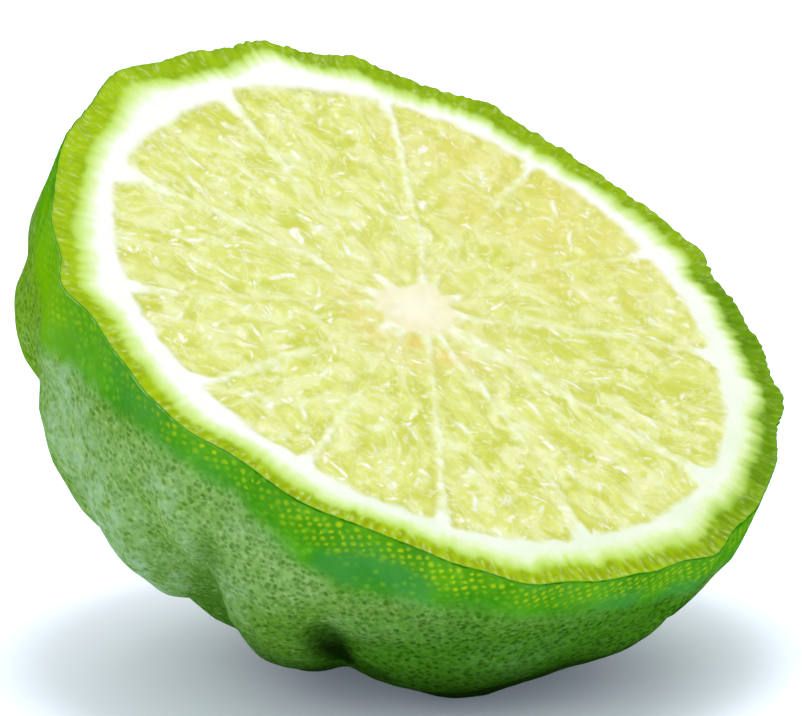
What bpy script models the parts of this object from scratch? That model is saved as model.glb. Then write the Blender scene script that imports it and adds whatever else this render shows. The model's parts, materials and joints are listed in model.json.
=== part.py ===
"""Half of a knobbly green citrus fruit, cut straight across its segments.

The half lies on its rounded, knobbly skin with the cut face turned up and
towards -Y. It is one solid: the fruit grew as one piece, so the rind, the
pith and the segments are not separate bodies.

The shape is worked out in the fruit's own frame first. Its origin is the
middle of the cut face, +z is the cut face's outward direction, and the
domed skin is in z < 0. A direction on the dome has an azimuth, counted
from +x, and a polar angle, counted from the stem end, so 90 degrees is the
rim of the cut. The radius in each direction is a smooth base, plus the
lobes of the cut edge near the rim, plus rounded knobs with creases between
them everywhere else. The half is then tilted and set down.
"""

import math
import random

import bmesh
import bpy
import numpy as np
from mathutils import Matrix, Vector

# ---------------------------------------------------------------- dimensions
MM = 0.001
RIM_RADIUS = 30.2  # mm, the cut edge between its lobes
WAIST_RADIUS = 28.9  # mm, the dome half way down, between knobs
STEM_RADIUS = 29.8  # mm, the depth to the stem end, between knobs
FULLER_SIDE = (350, 27, 34, 1.5)  # the dome bulges here: azimuth, polar, spread, mm
CREASE_DEPTH = 0.45  # mm, how far creases fall below the base
CREASE_SOFTNESS = 0.24  # mm, how gently one knob runs into the next
RIM_BLEND = (69.0, 86.0)  # degrees, where knobs give way to the smooth rim
TILT = 31.6  # degrees, the cut face from level
CENTRE_HEIGHT = 28.9  # mm, middle of the cut face above the surface
STEM_DIMPLE = (6.5, 1.3)  # degrees across, mm deep
RINGS = 40  # rings from the stem end to the rim; ring i has 4 i points

# Lobes of the cut edge: azimuth, height in mm, half-width in degrees.
RIM_LOBES = [
    (4, 0.7, 6),
    (13, 0.25, 5),
    (37, 1.05, 5),
    (28, 0.3, 5),
    (59, 1.2, 5),
    (74, 1.55, 7),
    (87, 0.75, 6),
    (103, 1.05, 8),
    (126, 0.2, 7),
    (148, 0.5, 6),
    (161, 1.4, 5),
    (174, 0.5, 5),
    (183, 0.9, 5),
    (191, 1.05, 5),
    (210, 0.6, 6),
    (234, 0.6, 5),
    (244, 1.35, 6),
    (256, 0.7, 7),
    (268, 0.4, 5),
    (280, 1.0, 5),
    (296, 0.3, 7),
    (309, 0.35, 5),
    (325, 1.1, 6),
    (337, 0.9, 5),
    (347, 0.75, 5),
    (357, 1.3, 4),
]

# Knobs that can be told apart: azimuth and polar angle of the middle,
# half-width across and along, turn (all degrees), and height in mm.
KNOBS = [
    (143, 69, 10, 13, 0, 1.6),  # left shoulder, the bulge under the rim
    (165, 56, 15, 19, 0, 1.5),  # left flank
    (184, 57, 11.5, 21, 8, 1.75),  # the flank's right part, up to the deep crease
    (214.5, 61, 10, 20, 16, 1.5),  # tall knob beside the deep crease
    (219, 46, 8.5, 13, 14, 1.15),  # its lower end
    (225, 38, 7, 7, 0, 0.85),
    (249, 61, 17, 19, 4, 1.4),  # broad front knob
    (262, 49, 13, 12, 0, 1.2),  # its foot, which the half rests on
    (270, 57, 11, 12, 0, 0.75),
    (279, 67, 12, 14, 20, 1.25),
    (290, 71, 9, 10, 0, 0.95),
    (297, 58, 10, 14, 0, 1.5),
    (283, 46, 11, 10, 0, 1.0),
    (193, 29, 12, 10, 0, -0.15),  # a low place between the bigger knobs
]

# Narrow raised lines and creases on the left flank: azimuth and polar angle
# of both ends, half-width (degrees) and height in mm.
RIDGES = [
    (156, 76, 158, 64, 2.2, 0.25),
    (166, 66, 178, 62, 3.2, 0.35),
    (178, 62, 195, 50, 3.0, 0.35),
    (190, 79, 204, 66, 2.6, 0.35),
    (206, 68, 209, 50, 2.6, 0.22),
]
CREASES = [
    (201, 72, 203, 58, 2.0, -0.5),
    (203, 58, 206, 44, 2.2, -0.5),
    (222, 66, 231, 52, 2.2, -0.5),
]

# Low swellings close under the rim: azimuth, polar angle, half-width
# (degrees) and height in mm.
SHOULDERS = [
    (294, 81, 6, 0.5),
    (305, 76, 7, 0.5),
    (20, 79, 9, 0.5),
    (62, 77, 8, 0.6),
    (104, 78, 8, 0.5),
]

# Knobs that the half rests on: place on the surface in mm from the point
# under the middle of the cut face, half-width in degrees, and how many
# times that the knob is lengthwise.
FEET = [
    (-3.8, -7.0, 10.0, 1.0),
    (-4.0, 10.6, 9.5, 1.2),
    (9.2, 10.8, 12.0, 1.1),
]
FOOT_PRESS = 0.28  # mm that each foot is pressed flat

KNOB_SEED = 7
SPREAD_KNOBS = 46  # how many knobs the whole dome would hold
KNOB_GAP = 14.5  # degrees, the nearest that spread knobs come to named ones
FRONT = (135, 300, 36)  # azimuths and polar angle that hold named knobs only
WAVER = 0.055  # how far spread knobs are bent out of shape
BELT = (78, 17, 0.6)  # low ring under the rim: polar angle, half-width, mm

RIPPLE_SEED = 11
RIPPLE = 0.10  # mm, the skin's own unevenness between 4 and 9 mm long

TILT_AXES = Matrix.Rotation(math.radians(TILT), 3, "X")


# ------------------------------------------------------------------ the shape
def direction(azimuth, polar):
    """Unit vectors from azimuth and polar angle in degrees."""
    a, p = np.radians(azimuth), np.radians(polar)
    return np.stack([np.sin(p) * np.cos(a), np.sin(p) * np.sin(a), -np.cos(p)], -1)


def angles(u):
    azimuth = np.degrees(np.arctan2(u[..., 1], u[..., 0])) % 360
    polar = np.degrees(np.arccos(np.clip(-u[..., 2], -1, 1)))
    return azimuth, polar


def smooth(x, low, high):
    t = np.clip((x - low) / (high - low), 0, 1)
    return t * t * (3 - 2 * t)


def swelling(u, azimuth, polar, spread):
    """1 at a place on the dome, falling smoothly to nothing round it."""
    away = np.degrees(np.arccos(np.clip(u @ direction(azimuth, polar), -1, 1)))
    return np.exp(-((away / spread) ** 2))


def base_radius(u):
    """The dome without its knobs: fullest at the rim, leanest half way down,
    and a little fuller on one side of the stem than on the other."""
    polar = angles(u)[1]
    upper = WAIST_RADIUS + (RIM_RADIUS - WAIST_RADIUS) * smooth(polar, 36, 84)
    lower = (STEM_RADIUS - WAIST_RADIUS) * (1 - smooth(polar, 4, 36))
    return upper + lower + FULLER_SIDE[3] * swelling(u, *FULLER_SIDE[:3])


def rim_lobes(azimuth):
    total = np.zeros_like(azimuth)
    for middle, height, width in RIM_LOBES:
        away = (azimuth - middle + 180) % 360 - 180
        total += height * np.exp(-((away / width) ** 2))
    return total


def knob_offsets(u, azimuth, polar, turn):
    """Degrees across and along a knob from its middle, for each direction."""
    middle = direction(azimuth, polar)
    a = math.radians(azimuth)
    across = np.array([-math.sin(a), math.cos(a), 0])
    along = np.cross(middle, across)
    s, t = np.degrees(u @ across), np.degrees(u @ along)
    c, d = math.cos(math.radians(turn)), math.sin(math.radians(turn))
    behind = (u @ middle) < 0.3
    s, t = c * s + d * t, c * t - d * s
    return np.where(behind, 90.0, s), np.where(behind, 90.0, t)


def foot_direction(x, y):
    """Direction in the fruit's frame of a point on the surface it rests on."""
    v = TILT_AXES.inverted() @ Vector((x, y, -CENTRE_HEIGHT - FOOT_PRESS))
    return np.array(v.normalized()), v.length


def spread_knobs():
    """Knobs all over the dome on a golden-angle spiral, each nudged a little."""
    rng = random.Random(KNOB_SEED)
    taken = [direction(k[0], k[1]) for k in KNOBS]
    taken += [foot_direction(x, y)[0] for x, y, _, _ in FEET]
    found = []
    for i in range(SPREAD_KNOBS):
        polar = math.degrees(math.acos(1 - (i + 0.5) / SPREAD_KNOBS))
        azimuth = math.degrees(i * math.pi * (3 - math.sqrt(5))) % 360
        polar += rng.uniform(-3, 3)
        azimuth += rng.uniform(-4, 4)
        across, along = rng.uniform(9, 13), rng.uniform(11, 16)
        turn, height = rng.uniform(-35, 35), rng.uniform(1.2, 2.0)
        middle = direction(azimuth, polar)
        if polar < 10 or polar > 80:
            continue
        if FRONT[0] < azimuth < FRONT[1] and polar > FRONT[2]:
            continue
        near = min(math.degrees(math.acos(min(1, float(middle @ t)))) for t in taken)
        if near > KNOB_GAP:
            found.append((azimuth, polar, across, along, turn, height))
    return found


def wavering(u):
    """Directions moved a little, smoothly, so that knobs aren't plain ovals."""
    rng = np.random.default_rng(RIPPLE_SEED + 1)
    moved = np.zeros(u.shape)
    for _ in range(9):
        way = rng.normal(size=3)
        way *= 2 * math.pi * 30 / rng.uniform(11, 24) / np.linalg.norm(way)
        push = rng.normal(size=3)
        moved += np.cos(u @ way + rng.uniform(0, 2 * math.pi))[..., None] * push
    moved = u + WAVER * moved / 3
    return moved / np.linalg.norm(moved, axis=-1)[..., None]


def ridge_field(u):
    high, low = np.zeros(u.shape[:-1]), np.zeros(u.shape[:-1])
    for azimuth, polar, azimuth_2, polar_2, width, height in RIDGES + CREASES:
        a, b = direction(azimuth, polar), direction(azimuth_2, polar_2)
        along = np.clip((u - a) @ (b - a) / ((b - a) @ (b - a)), 0, 1)
        away = np.degrees(np.linalg.norm(u - a - along[..., None] * (b - a), axis=-1))
        here = height * np.exp(-((away / width) ** 2))
        high, low = np.maximum(high, here), np.minimum(low, here)
    return high + low


def knob_field(u):
    """Height of the knobbly skin over the base, in mm: the upper envelope of
    rounded caps, with each crease softened."""
    caps = [np.full(u.shape[:-1], -CREASE_DEPTH)]
    below = (angles(u)[1] - BELT[0]) / BELT[1]
    caps.append(BELT[2] - (BELT[2] + CREASE_DEPTH) * below**2)
    bent = wavering(u)
    for sort, knobs in ((u, KNOBS), (bent, spread_knobs())):
        for azimuth, polar, across, along, turn, height in knobs:
            s, t = knob_offsets(sort, azimuth, polar, turn)
            q = (s / across) ** 2 + (t / along) ** 2
            caps.append(height - (height + CREASE_DEPTH) * q)
    for x, y, width, longer in FEET:
        middle, length = foot_direction(x, y)
        azimuth, polar = angles(middle)
        s, t = knob_offsets(u, float(azimuth), float(polar), 0)
        q = (s / width) ** 2 + (t / (width * longer)) ** 2
        height = length - float(base_radius(middle))
        caps.append(height - (height + CREASE_DEPTH) * q)
    caps = np.stack(caps) / CREASE_SOFTNESS
    top = caps.max(0)
    return CREASE_SOFTNESS * (top + np.log(np.exp(caps - top).sum(0)))


def ripple(u):
    rng = np.random.default_rng(RIPPLE_SEED)
    total = np.zeros(u.shape[:-1])
    for _ in range(28):
        way = rng.normal(size=3)
        way *= 2 * math.pi * 30 / rng.uniform(4, 9) / np.linalg.norm(way)
        total += np.cos(u @ way + rng.uniform(0, 2 * math.pi))
    return RIPPLE * total / math.sqrt(14)


def radius(u):
    """Distance from the middle of the cut face to the skin, in mm."""
    azimuth, polar = angles(u)
    at_rim = smooth(polar, *RIM_BLEND)
    dimple = STEM_DIMPLE[1] * np.exp(-((polar / STEM_DIMPLE[0]) ** 2))
    knobs = knob_field(u) + ridge_field(u) + ripple(u)
    found = base_radius(u) - dimple
    found += at_rim * rim_lobes(azimuth) + (1 - at_rim) * knobs
    for middle_azimuth, middle_polar, spread, height in SHOULDERS:
        found += height * swelling(u, middle_azimuth, middle_polar, spread)
    return found


# ------------------------------------------------------------------- the mesh
def half_fruit():
    """A closed mesh: the dome in rings of 4, 8, 12 ... points, so that its
    triangles are all about one size, and one flat face for the cut."""
    rings = [direction(np.zeros(1), np.zeros(1))]
    for i in range(1, RINGS + 1):
        azimuth = np.arange(4 * i) * 360.0 / (4 * i)
        rings.append(direction(azimuth, np.full(4 * i, 90.0 * i / RINGS)))
    u = np.concatenate(rings)
    points = u * radius(u)[:, None]
    points[-4 * RINGS :, 2] = 0

    mesh = bmesh.new()
    verts = [mesh.verts.new(p * MM) for p in points]
    start = [0]
    for ring in rings:
        start.append(start[-1] + len(ring))

    def at(i, j):
        return verts[start[i] + (j % (4 * i) if i else 0)]

    for i in range(RINGS):
        for quarter in range(4):
            inner, outer = quarter * i, quarter * (i + 1)
            for k in range(i + 1):
                mesh.faces.new(
                    (at(i, inner + k), at(i + 1, outer + k + 1), at(i + 1, outer + k))
                )
                if k < i:
                    mesh.faces.new(
                        (
                            at(i, inner + k),
                            at(i, inner + k + 1),
                            at(i + 1, outer + k + 1),
                        )
                    )
    cut = mesh.faces.new([at(RINGS, j) for j in range(4 * RINGS)])
    cut.material_index = 1
    bmesh.ops.recalc_face_normals(mesh, faces=mesh.faces)
    for face in mesh.faces:
        face.smooth = face is not cut
    for edge in cut.edges:
        edge.smooth = False
    return mesh


def set_down(mesh):
    """Tilts the half, presses its feet flat on z = 0, and brings the middle
    of its bounding box over the origin."""
    mesh.transform(TILT_AXES.to_4x4())
    floor = -CENTRE_HEIGHT * MM
    for vert in mesh.verts:
        vert.co.z = max(vert.co.z, floor) - floor
    x = [v.co.x for v in mesh.verts]
    y = [v.co.y for v in mesh.verts]
    middle = Vector(((min(x) + max(x)) / 2, (min(y) + max(y)) / 2, 0))
    bmesh.ops.translate(mesh, verts=mesh.verts, vec=-middle)
    return -middle


def material(name, color, roughness):
    made = bpy.data.materials.new(name)
    made.use_nodes = True
    shader = made.node_tree.nodes["Principled BSDF"]
    shader.inputs["Base Color"].default_value = (*color, 1)
    shader.inputs["Roughness"].default_value = roughness
    shader.inputs["Metallic"].default_value = 0
    made.diffuse_color = (*color, 1)
    return made


def main():
    for thing in list(bpy.data.objects):
        bpy.data.objects.remove(thing, do_unlink=True)
    shape = half_fruit()
    shift = set_down(shape)
    data = bpy.data.meshes.new("bergamot_half")
    shape.to_mesh(data)
    shape.free()
    data.materials.append(material("rind", (0.10, 0.29, 0.035), 0.42))
    data.materials.append(material("cut_face", (0.76, 0.78, 0.30), 0.25))
    fruit = bpy.data.objects.new("bergamot_half", data)
    bpy.context.scene.collection.objects.link(fruit)
    print(f"cut face middle at {shift.x:.6f}, {shift.y:.6f}, {CENTRE_HEIGHT * MM:.6f}")


main()
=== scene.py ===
"""The looks of a cut citrus half: pitted green skin, cut rind, white pith,
juicy segments, core and stem scar, with a pale floor, soft light and a camera.

Everything is worked out in the fruit's own frame, in millimetres: the origin
is the middle of the cut face, +z is the cut face's outward direction and the
dome is in z < 0. `placed` turns such points into the object's frame.
"""

import json
import math
import random

import bpy
import numpy as np
from mathutils import Matrix, Vector
from mathutils.geometry import delaunay_2d_cdt


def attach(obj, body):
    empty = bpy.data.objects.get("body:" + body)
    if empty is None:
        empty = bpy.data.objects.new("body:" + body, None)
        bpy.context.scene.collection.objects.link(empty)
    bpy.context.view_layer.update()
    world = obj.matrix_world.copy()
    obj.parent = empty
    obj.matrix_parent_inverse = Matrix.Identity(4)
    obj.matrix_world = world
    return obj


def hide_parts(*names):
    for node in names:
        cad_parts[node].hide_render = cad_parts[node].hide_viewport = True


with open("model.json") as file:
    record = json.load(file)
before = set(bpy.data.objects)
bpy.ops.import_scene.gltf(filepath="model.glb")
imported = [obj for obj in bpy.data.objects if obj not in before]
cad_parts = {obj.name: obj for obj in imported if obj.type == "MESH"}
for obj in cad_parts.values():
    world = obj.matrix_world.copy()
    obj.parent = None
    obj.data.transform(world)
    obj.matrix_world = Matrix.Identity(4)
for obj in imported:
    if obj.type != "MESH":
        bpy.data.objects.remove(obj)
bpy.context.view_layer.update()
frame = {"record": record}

# ------------------------------------------------- the fruit, as it was built
RIM_RADIUS = 30.2
WAIST_RADIUS = 28.9
STEM_RADIUS = 29.8
FULLER_SIDE = (350, 27, 34, 1.5)
CREASE_DEPTH = 0.45
CREASE_SOFTNESS = 0.24
RIM_BLEND = (69.0, 86.0)
TILT = 31.6
CENTRE_HEIGHT = 28.9
STEM_DIMPLE = (6.5, 1.3)
RIM_LOBES = [
    (4, 0.7, 6),
    (13, 0.25, 5),
    (37, 1.05, 5),
    (28, 0.3, 5),
    (59, 1.2, 5),
    (74, 1.55, 7),
    (87, 0.75, 6),
    (103, 1.05, 8),
    (126, 0.2, 7),
    (148, 0.5, 6),
    (161, 1.4, 5),
    (174, 0.5, 5),
    (183, 0.9, 5),
    (191, 1.05, 5),
    (210, 0.6, 6),
    (234, 0.6, 5),
    (244, 1.35, 6),
    (256, 0.7, 7),
    (268, 0.4, 5),
    (280, 1.0, 5),
    (296, 0.3, 7),
    (309, 0.35, 5),
    (325, 1.1, 6),
    (337, 0.9, 5),
    (347, 0.75, 5),
    (357, 1.3, 4),
]
KNOBS = [
    (143, 69, 10, 13, 0, 1.6),
    (165, 56, 15, 19, 0, 1.5),
    (184, 57, 11.5, 21, 8, 1.75),
    (214.5, 61, 10, 20, 16, 1.5),
    (219, 46, 8.5, 13, 14, 1.15),
    (225, 38, 7, 7, 0, 0.85),
    (249, 61, 17, 19, 4, 1.4),
    (262, 49, 13, 12, 0, 1.2),
    (270, 57, 11, 12, 0, 0.75),
    (279, 67, 12, 14, 20, 1.25),
    (290, 71, 9, 10, 0, 0.95),
    (297, 58, 10, 14, 0, 1.5),
    (283, 46, 11, 10, 0, 1.0),
    (193, 29, 12, 10, 0, -0.15),
]
RIDGES = [
    (156, 76, 158, 64, 2.2, 0.25),
    (166, 66, 178, 62, 3.2, 0.35),
    (178, 62, 195, 50, 3.0, 0.35),
    (190, 79, 204, 66, 2.6, 0.35),
    (206, 68, 209, 50, 2.6, 0.22),
]
CREASES = [
    (201, 72, 203, 58, 2.0, -0.5),
    (203, 58, 206, 44, 2.2, -0.5),
    (222, 66, 231, 52, 2.2, -0.5),
]
SHOULDERS = [
    (294, 81, 6, 0.5),
    (305, 76, 7, 0.5),
    (20, 79, 9, 0.5),
    (62, 77, 8, 0.6),
    (104, 78, 8, 0.5),
]
FEET = [
    (-3.8, -7.0, 10.0, 1.0),
    (-4.0, 10.6, 9.5, 1.2),
    (9.2, 10.8, 12.0, 1.1),
]
FOOT_PRESS = 0.28
KNOB_SEED = 7
SPREAD_KNOBS = 46
KNOB_GAP = 14.5
FRONT = (135, 300, 36)
WAVER = 0.055
BELT = (78, 17, 0.6)
RIPPLE_SEED = 11
RIPPLE = 0.10
TILT_AXES = Matrix.Rotation(math.radians(TILT), 3, "X")

CENTRE = np.array(
    next(m for m in frame["record"]["mounts"] if m["name"] == "cut_face")["pos_m"]
)
AXES = np.array(TILT_AXES)


def placed(points):
    """Points of the fruit's frame, in mm, in the object's frame, in metres."""
    out = CENTRE + 0.001 * (points @ AXES.T)
    out[:, 2] = np.maximum(out[:, 2], 0)
    return out


def direction(azimuth, polar):
    a, p = np.radians(azimuth), np.radians(polar)
    return np.stack([np.sin(p) * np.cos(a), np.sin(p) * np.sin(a), -np.cos(p)], -1)


def angles(u):
    azimuth = np.degrees(np.arctan2(u[..., 1], u[..., 0])) % 360
    polar = np.degrees(np.arccos(np.clip(-u[..., 2], -1, 1)))
    return azimuth, polar


def smooth(x, low, high):
    t = np.clip((x - low) / (high - low), 0, 1)
    return t * t * (3 - 2 * t)


def swelling(u, azimuth, polar, spread):
    away = np.degrees(np.arccos(np.clip(u @ direction(azimuth, polar), -1, 1)))
    return np.exp(-((away / spread) ** 2))


def base_radius(u):
    polar = angles(u)[1]
    upper = WAIST_RADIUS + (RIM_RADIUS - WAIST_RADIUS) * smooth(polar, 36, 84)
    lower = (STEM_RADIUS - WAIST_RADIUS) * (1 - smooth(polar, 4, 36))
    return upper + lower + FULLER_SIDE[3] * swelling(u, *FULLER_SIDE[:3])


def rim_lobes(azimuth):
    total = np.zeros_like(azimuth)
    for middle, height, width in RIM_LOBES:
        away = (azimuth - middle + 180) % 360 - 180
        total += height * np.exp(-((away / width) ** 2))
    return total


def knob_offsets(u, azimuth, polar, turn):
    middle = direction(azimuth, polar)
    a = math.radians(azimuth)
    across = np.array([-math.sin(a), math.cos(a), 0])
    along = np.cross(middle, across)
    s, t = np.degrees(u @ across), np.degrees(u @ along)
    c, d = math.cos(math.radians(turn)), math.sin(math.radians(turn))
    behind = (u @ middle) < 0.3
    s, t = c * s + d * t, c * t - d * s
    return np.where(behind, 90.0, s), np.where(behind, 90.0, t)


def foot_direction(x, y):
    v = TILT_AXES.inverted() @ Vector((x, y, -CENTRE_HEIGHT - FOOT_PRESS))
    return np.array(v.normalized()), v.length


def spread_knobs():
    rng = random.Random(KNOB_SEED)
    taken = [direction(k[0], k[1]) for k in KNOBS]
    taken += [foot_direction(x, y)[0] for x, y, _, _ in FEET]
    found = []
    for i in range(SPREAD_KNOBS):
        polar = math.degrees(math.acos(1 - (i + 0.5) / SPREAD_KNOBS))
        azimuth = math.degrees(i * math.pi * (3 - math.sqrt(5))) % 360
        polar += rng.uniform(-3, 3)
        azimuth += rng.uniform(-4, 4)
        across, along = rng.uniform(9, 13), rng.uniform(11, 16)
        turn, height = rng.uniform(-35, 35), rng.uniform(1.2, 2.0)
        middle = direction(azimuth, polar)
        if polar < 10 or polar > 80:
            continue
        if FRONT[0] < azimuth < FRONT[1] and polar > FRONT[2]:
            continue
        near = min(math.degrees(math.acos(min(1, float(middle @ t)))) for t in taken)
        if near > KNOB_GAP:
            found.append((azimuth, polar, across, along, turn, height))
    return found


def wavering(u):
    rng = np.random.default_rng(RIPPLE_SEED + 1)
    moved = np.zeros(u.shape)
    for _ in range(9):
        way = rng.normal(size=3)
        way *= 2 * math.pi * 30 / rng.uniform(11, 24) / np.linalg.norm(way)
        push = rng.normal(size=3)
        moved += np.cos(u @ way + rng.uniform(0, 2 * math.pi))[..., None] * push
    moved = u + WAVER * moved / 3
    return moved / np.linalg.norm(moved, axis=-1)[..., None]


def lines_field(u, lines, most):
    total = np.zeros(u.shape[:-1])
    for azimuth, polar, azimuth_2, polar_2, width, height in lines:
        a, b = direction(azimuth, polar), direction(azimuth_2, polar_2)
        along = np.clip((u - a) @ (b - a) / ((b - a) @ (b - a)), 0, 1)
        away = np.degrees(np.linalg.norm(u - a - along[..., None] * (b - a), axis=-1))
        total = most(total, height * np.exp(-((away / width) ** 2)))
    return total


def ridge_field(u):
    return lines_field(u, RIDGES, np.maximum) + lines_field(u, CREASES, np.minimum)


def knob_field(u):
    caps = [np.full(u.shape[:-1], -CREASE_DEPTH)]
    below = (angles(u)[1] - BELT[0]) / BELT[1]
    caps.append(BELT[2] - (BELT[2] + CREASE_DEPTH) * below**2)
    bent = wavering(u)
    for sort, knobs in ((u, KNOBS), (bent, spread_knobs())):
        for azimuth, polar, across, along, turn, height in knobs:
            s, t = knob_offsets(sort, azimuth, polar, turn)
            q = (s / across) ** 2 + (t / along) ** 2
            caps.append(height - (height + CREASE_DEPTH) * q)
    for x, y, width, longer in FEET:
        middle, length = foot_direction(x, y)
        azimuth, polar = angles(middle)
        s, t = knob_offsets(u, float(azimuth), float(polar), 0)
        q = (s / width) ** 2 + (t / (width * longer)) ** 2
        height = length - float(base_radius(middle))
        caps.append(height - (height + CREASE_DEPTH) * q)
    caps = np.stack(caps) / CREASE_SOFTNESS
    top = caps.max(0)
    return CREASE_SOFTNESS * (top + np.log(np.exp(caps - top).sum(0)))


def ripple(u):
    rng = np.random.default_rng(RIPPLE_SEED)
    total = np.zeros(u.shape[:-1])
    for _ in range(28):
        way = rng.normal(size=3)
        way *= 2 * math.pi * 30 / rng.uniform(4, 9) / np.linalg.norm(way)
        total += np.cos(u @ way + rng.uniform(0, 2 * math.pi))
    return RIPPLE * total / math.sqrt(14)


def radius(u):
    azimuth, polar = angles(u)
    at_rim = smooth(polar, *RIM_BLEND)
    dimple = STEM_DIMPLE[1] * np.exp(-((polar / STEM_DIMPLE[0]) ** 2))
    knobs = knob_field(u) + ridge_field(u) + ripple(u)
    found = base_radius(u) - dimple
    found += at_rim * rim_lobes(azimuth) + (1 - at_rim) * knobs
    for middle_azimuth, middle_polar, spread, height in SHOULDERS:
        found += height * swelling(u, middle_azimuth, middle_polar, spread)
    return found


# ------------------------------------------------------------ small utilities
def lattice(i, j, k, seed):
    """A repeatable number from 0 to 1 for each whole-number place."""
    h = (i * 73856093) ^ (j * 19349663) ^ (k * 83492791) ^ (seed * 2654435761)
    h = h & 0xFFFFFFFF
    h = ((h ^ (h >> 15)) * 2246822519) & 0xFFFFFFFF
    h = ((h ^ (h >> 13)) * 3266489917) & 0xFFFFFFFF
    return (h ^ (h >> 16)) / 4294967295.0


def noise(p, size, seed):
    """Smooth noise from -1 to 1, with features about `size` across."""
    q = p / size
    c = np.floor(q).astype(np.int64)
    f = q - c
    f = f * f * f * (f * (f * 6 - 15) + 10)
    total = 0
    for a in (0, 1):
        for b in (0, 1):
            for d in (0, 1):
                w = (
                    (f[:, 0] if a else 1 - f[:, 0])
                    * (f[:, 1] if b else 1 - f[:, 1])
                    * (f[:, 2] if d else 1 - f[:, 2])
                )
                total = total + w * lattice(c[:, 0] + a, c[:, 1] + b, c[:, 2] + d, seed)
    return 2 * total - 1


def flat3(x, y, z=0.0):
    return np.stack([x, y, np.zeros_like(x) + z], -1)


def layered(p, size, seed, layers=3):
    total, weight = 0, 0
    for i in range(layers):
        total = total + noise(p, size / 2**i, seed + 31 * i) / 2**i
        weight += 1 / 2**i
    return total / weight


def triangulate(xy):
    found = delaunay_2d_cdt([Vector(p) for p in xy], [], [], 0, 1e-9, True)
    if len(found[0]) != len(xy):
        raise RuntimeError(f"{len(xy) - len(found[0])} points fell together")
    order = np.array([o[0] for o in found[3]])
    return order[np.array(found[2])]


def build(name, points, faces, fields, materials, which=None):
    """A smooth-shaded mesh object with one float attribute for each field."""
    mesh = bpy.data.meshes.new(name)
    mesh.from_pydata(points.tolist(), [], faces.tolist())
    for key, values in fields.items():
        made = mesh.attributes.new(key, "FLOAT", "POINT")
        made.data.foreach_set("value", np.asarray(values, np.float32))
    for made in materials:
        mesh.materials.append(made)
    if which is not None:
        mesh.polygons.foreach_set("material_index", np.asarray(which, np.int32))
    mesh.shade_smooth()
    mesh.set_sharp_from_angle(angle=math.radians(62))
    mesh.update()
    piece = bpy.data.objects.new(name, mesh)
    bpy.context.scene.collection.objects.link(piece)
    return piece


# ------------------------------------------------------------------ materials
class Nodes:
    """Short names for building a node material."""

    def __init__(self, name):
        self.material = bpy.data.materials.new(name)
        self.material.use_nodes = True
        self.tree = self.material.node_tree
        self.shader = self.tree.nodes["Principled BSDF"]

    def link(self, source, target):
        self.tree.links.new(source, target)

    def node(self, kind, **values):
        made = self.tree.nodes.new(kind)
        for key, value in values.items():
            setattr(made, key, value)
        return made

    def feed(self, socket, value):
        if isinstance(value, bpy.types.NodeSocket):
            self.link(value, socket)
        elif value is not None:
            socket.default_value = value

    def field(self, name):
        return self.node("ShaderNodeAttribute", attribute_name=name).outputs["Fac"]

    def place(self):
        return self.node("ShaderNodeTexCoord").outputs["Object"]

    def math(self, what, a, b=None, c=None, clamp=False):
        made = self.node("ShaderNodeMath", operation=what, use_clamp=clamp)
        for socket, value in zip(made.inputs, (a, b, c)):
            self.feed(socket, value)
        return made.outputs[0]

    def vector(self, what, a, b=None, scale=None):
        made = self.node("ShaderNodeVectorMath", operation=what)
        self.feed(made.inputs[0], a)
        if b is not None:
            self.feed(made.inputs[1], b)
        if scale is not None:
            made.inputs["Scale"].default_value = scale
        return made.outputs[0]

    def ramp(self, value, low, high, out_low=0.0, out_high=1.0):
        made = self.node("ShaderNodeMapRange", interpolation_type="SMOOTHSTEP")
        for socket, x in zip(made.inputs, (value, low, high, out_low, out_high)):
            self.feed(socket, x)
        return made.outputs[0]

    def mix(self, share, a, b, how="MIX"):
        made = self.node(
            "ShaderNodeMix", data_type="RGBA", blend_type=how, clamp_factor=True
        )
        self.feed(made.inputs[0], share)
        for socket, value in ((made.inputs[6], a), (made.inputs[7], b)):
            if isinstance(value, tuple):
                value = (*value, 1.0)
            self.feed(socket, value)
        return made.outputs[2]

    def noise(self, scale, detail=3.0, rough=0.55, where=None, distort=0.0):
        made = self.node("ShaderNodeTexNoise")
        self.feed(made.inputs["Vector"], where or self.place())
        made.inputs["Scale"].default_value = scale
        made.inputs["Detail"].default_value = detail
        made.inputs["Roughness"].default_value = rough
        made.inputs["Distortion"].default_value = distort
        return made.outputs["Fac"]

    def bump(self, height, distance, strength=1.0, after=None):
        made = self.node("ShaderNodeBump")
        self.feed(made.inputs["Strength"], strength)
        made.inputs["Distance"].default_value = distance
        self.feed(made.inputs["Height"], height)
        if after is not None:
            self.link(after, made.inputs["Normal"])
        return made.outputs["Normal"]

    def set(self, **values):
        for key, value in values.items():
            socket = self.shader.inputs[key.replace("_", " ")]
            if isinstance(value, tuple) and len(value) == 3 and socket.type == "RGBA":
                value = (*value, 1.0)
            self.feed(socket, value)


LIT = 1.12  # how bright white paper is on the cut face, under these lights


def seen(r, g, b):
    """The base colour that looks like this, 0 to 255, under these lights."""

    def one(c):
        c /= 255
        return (c / 12.92 if c <= 0.04045 else ((c + 0.055) / 1.055) ** 2.4) / LIT

    return (one(r), one(g), one(b))


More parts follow.
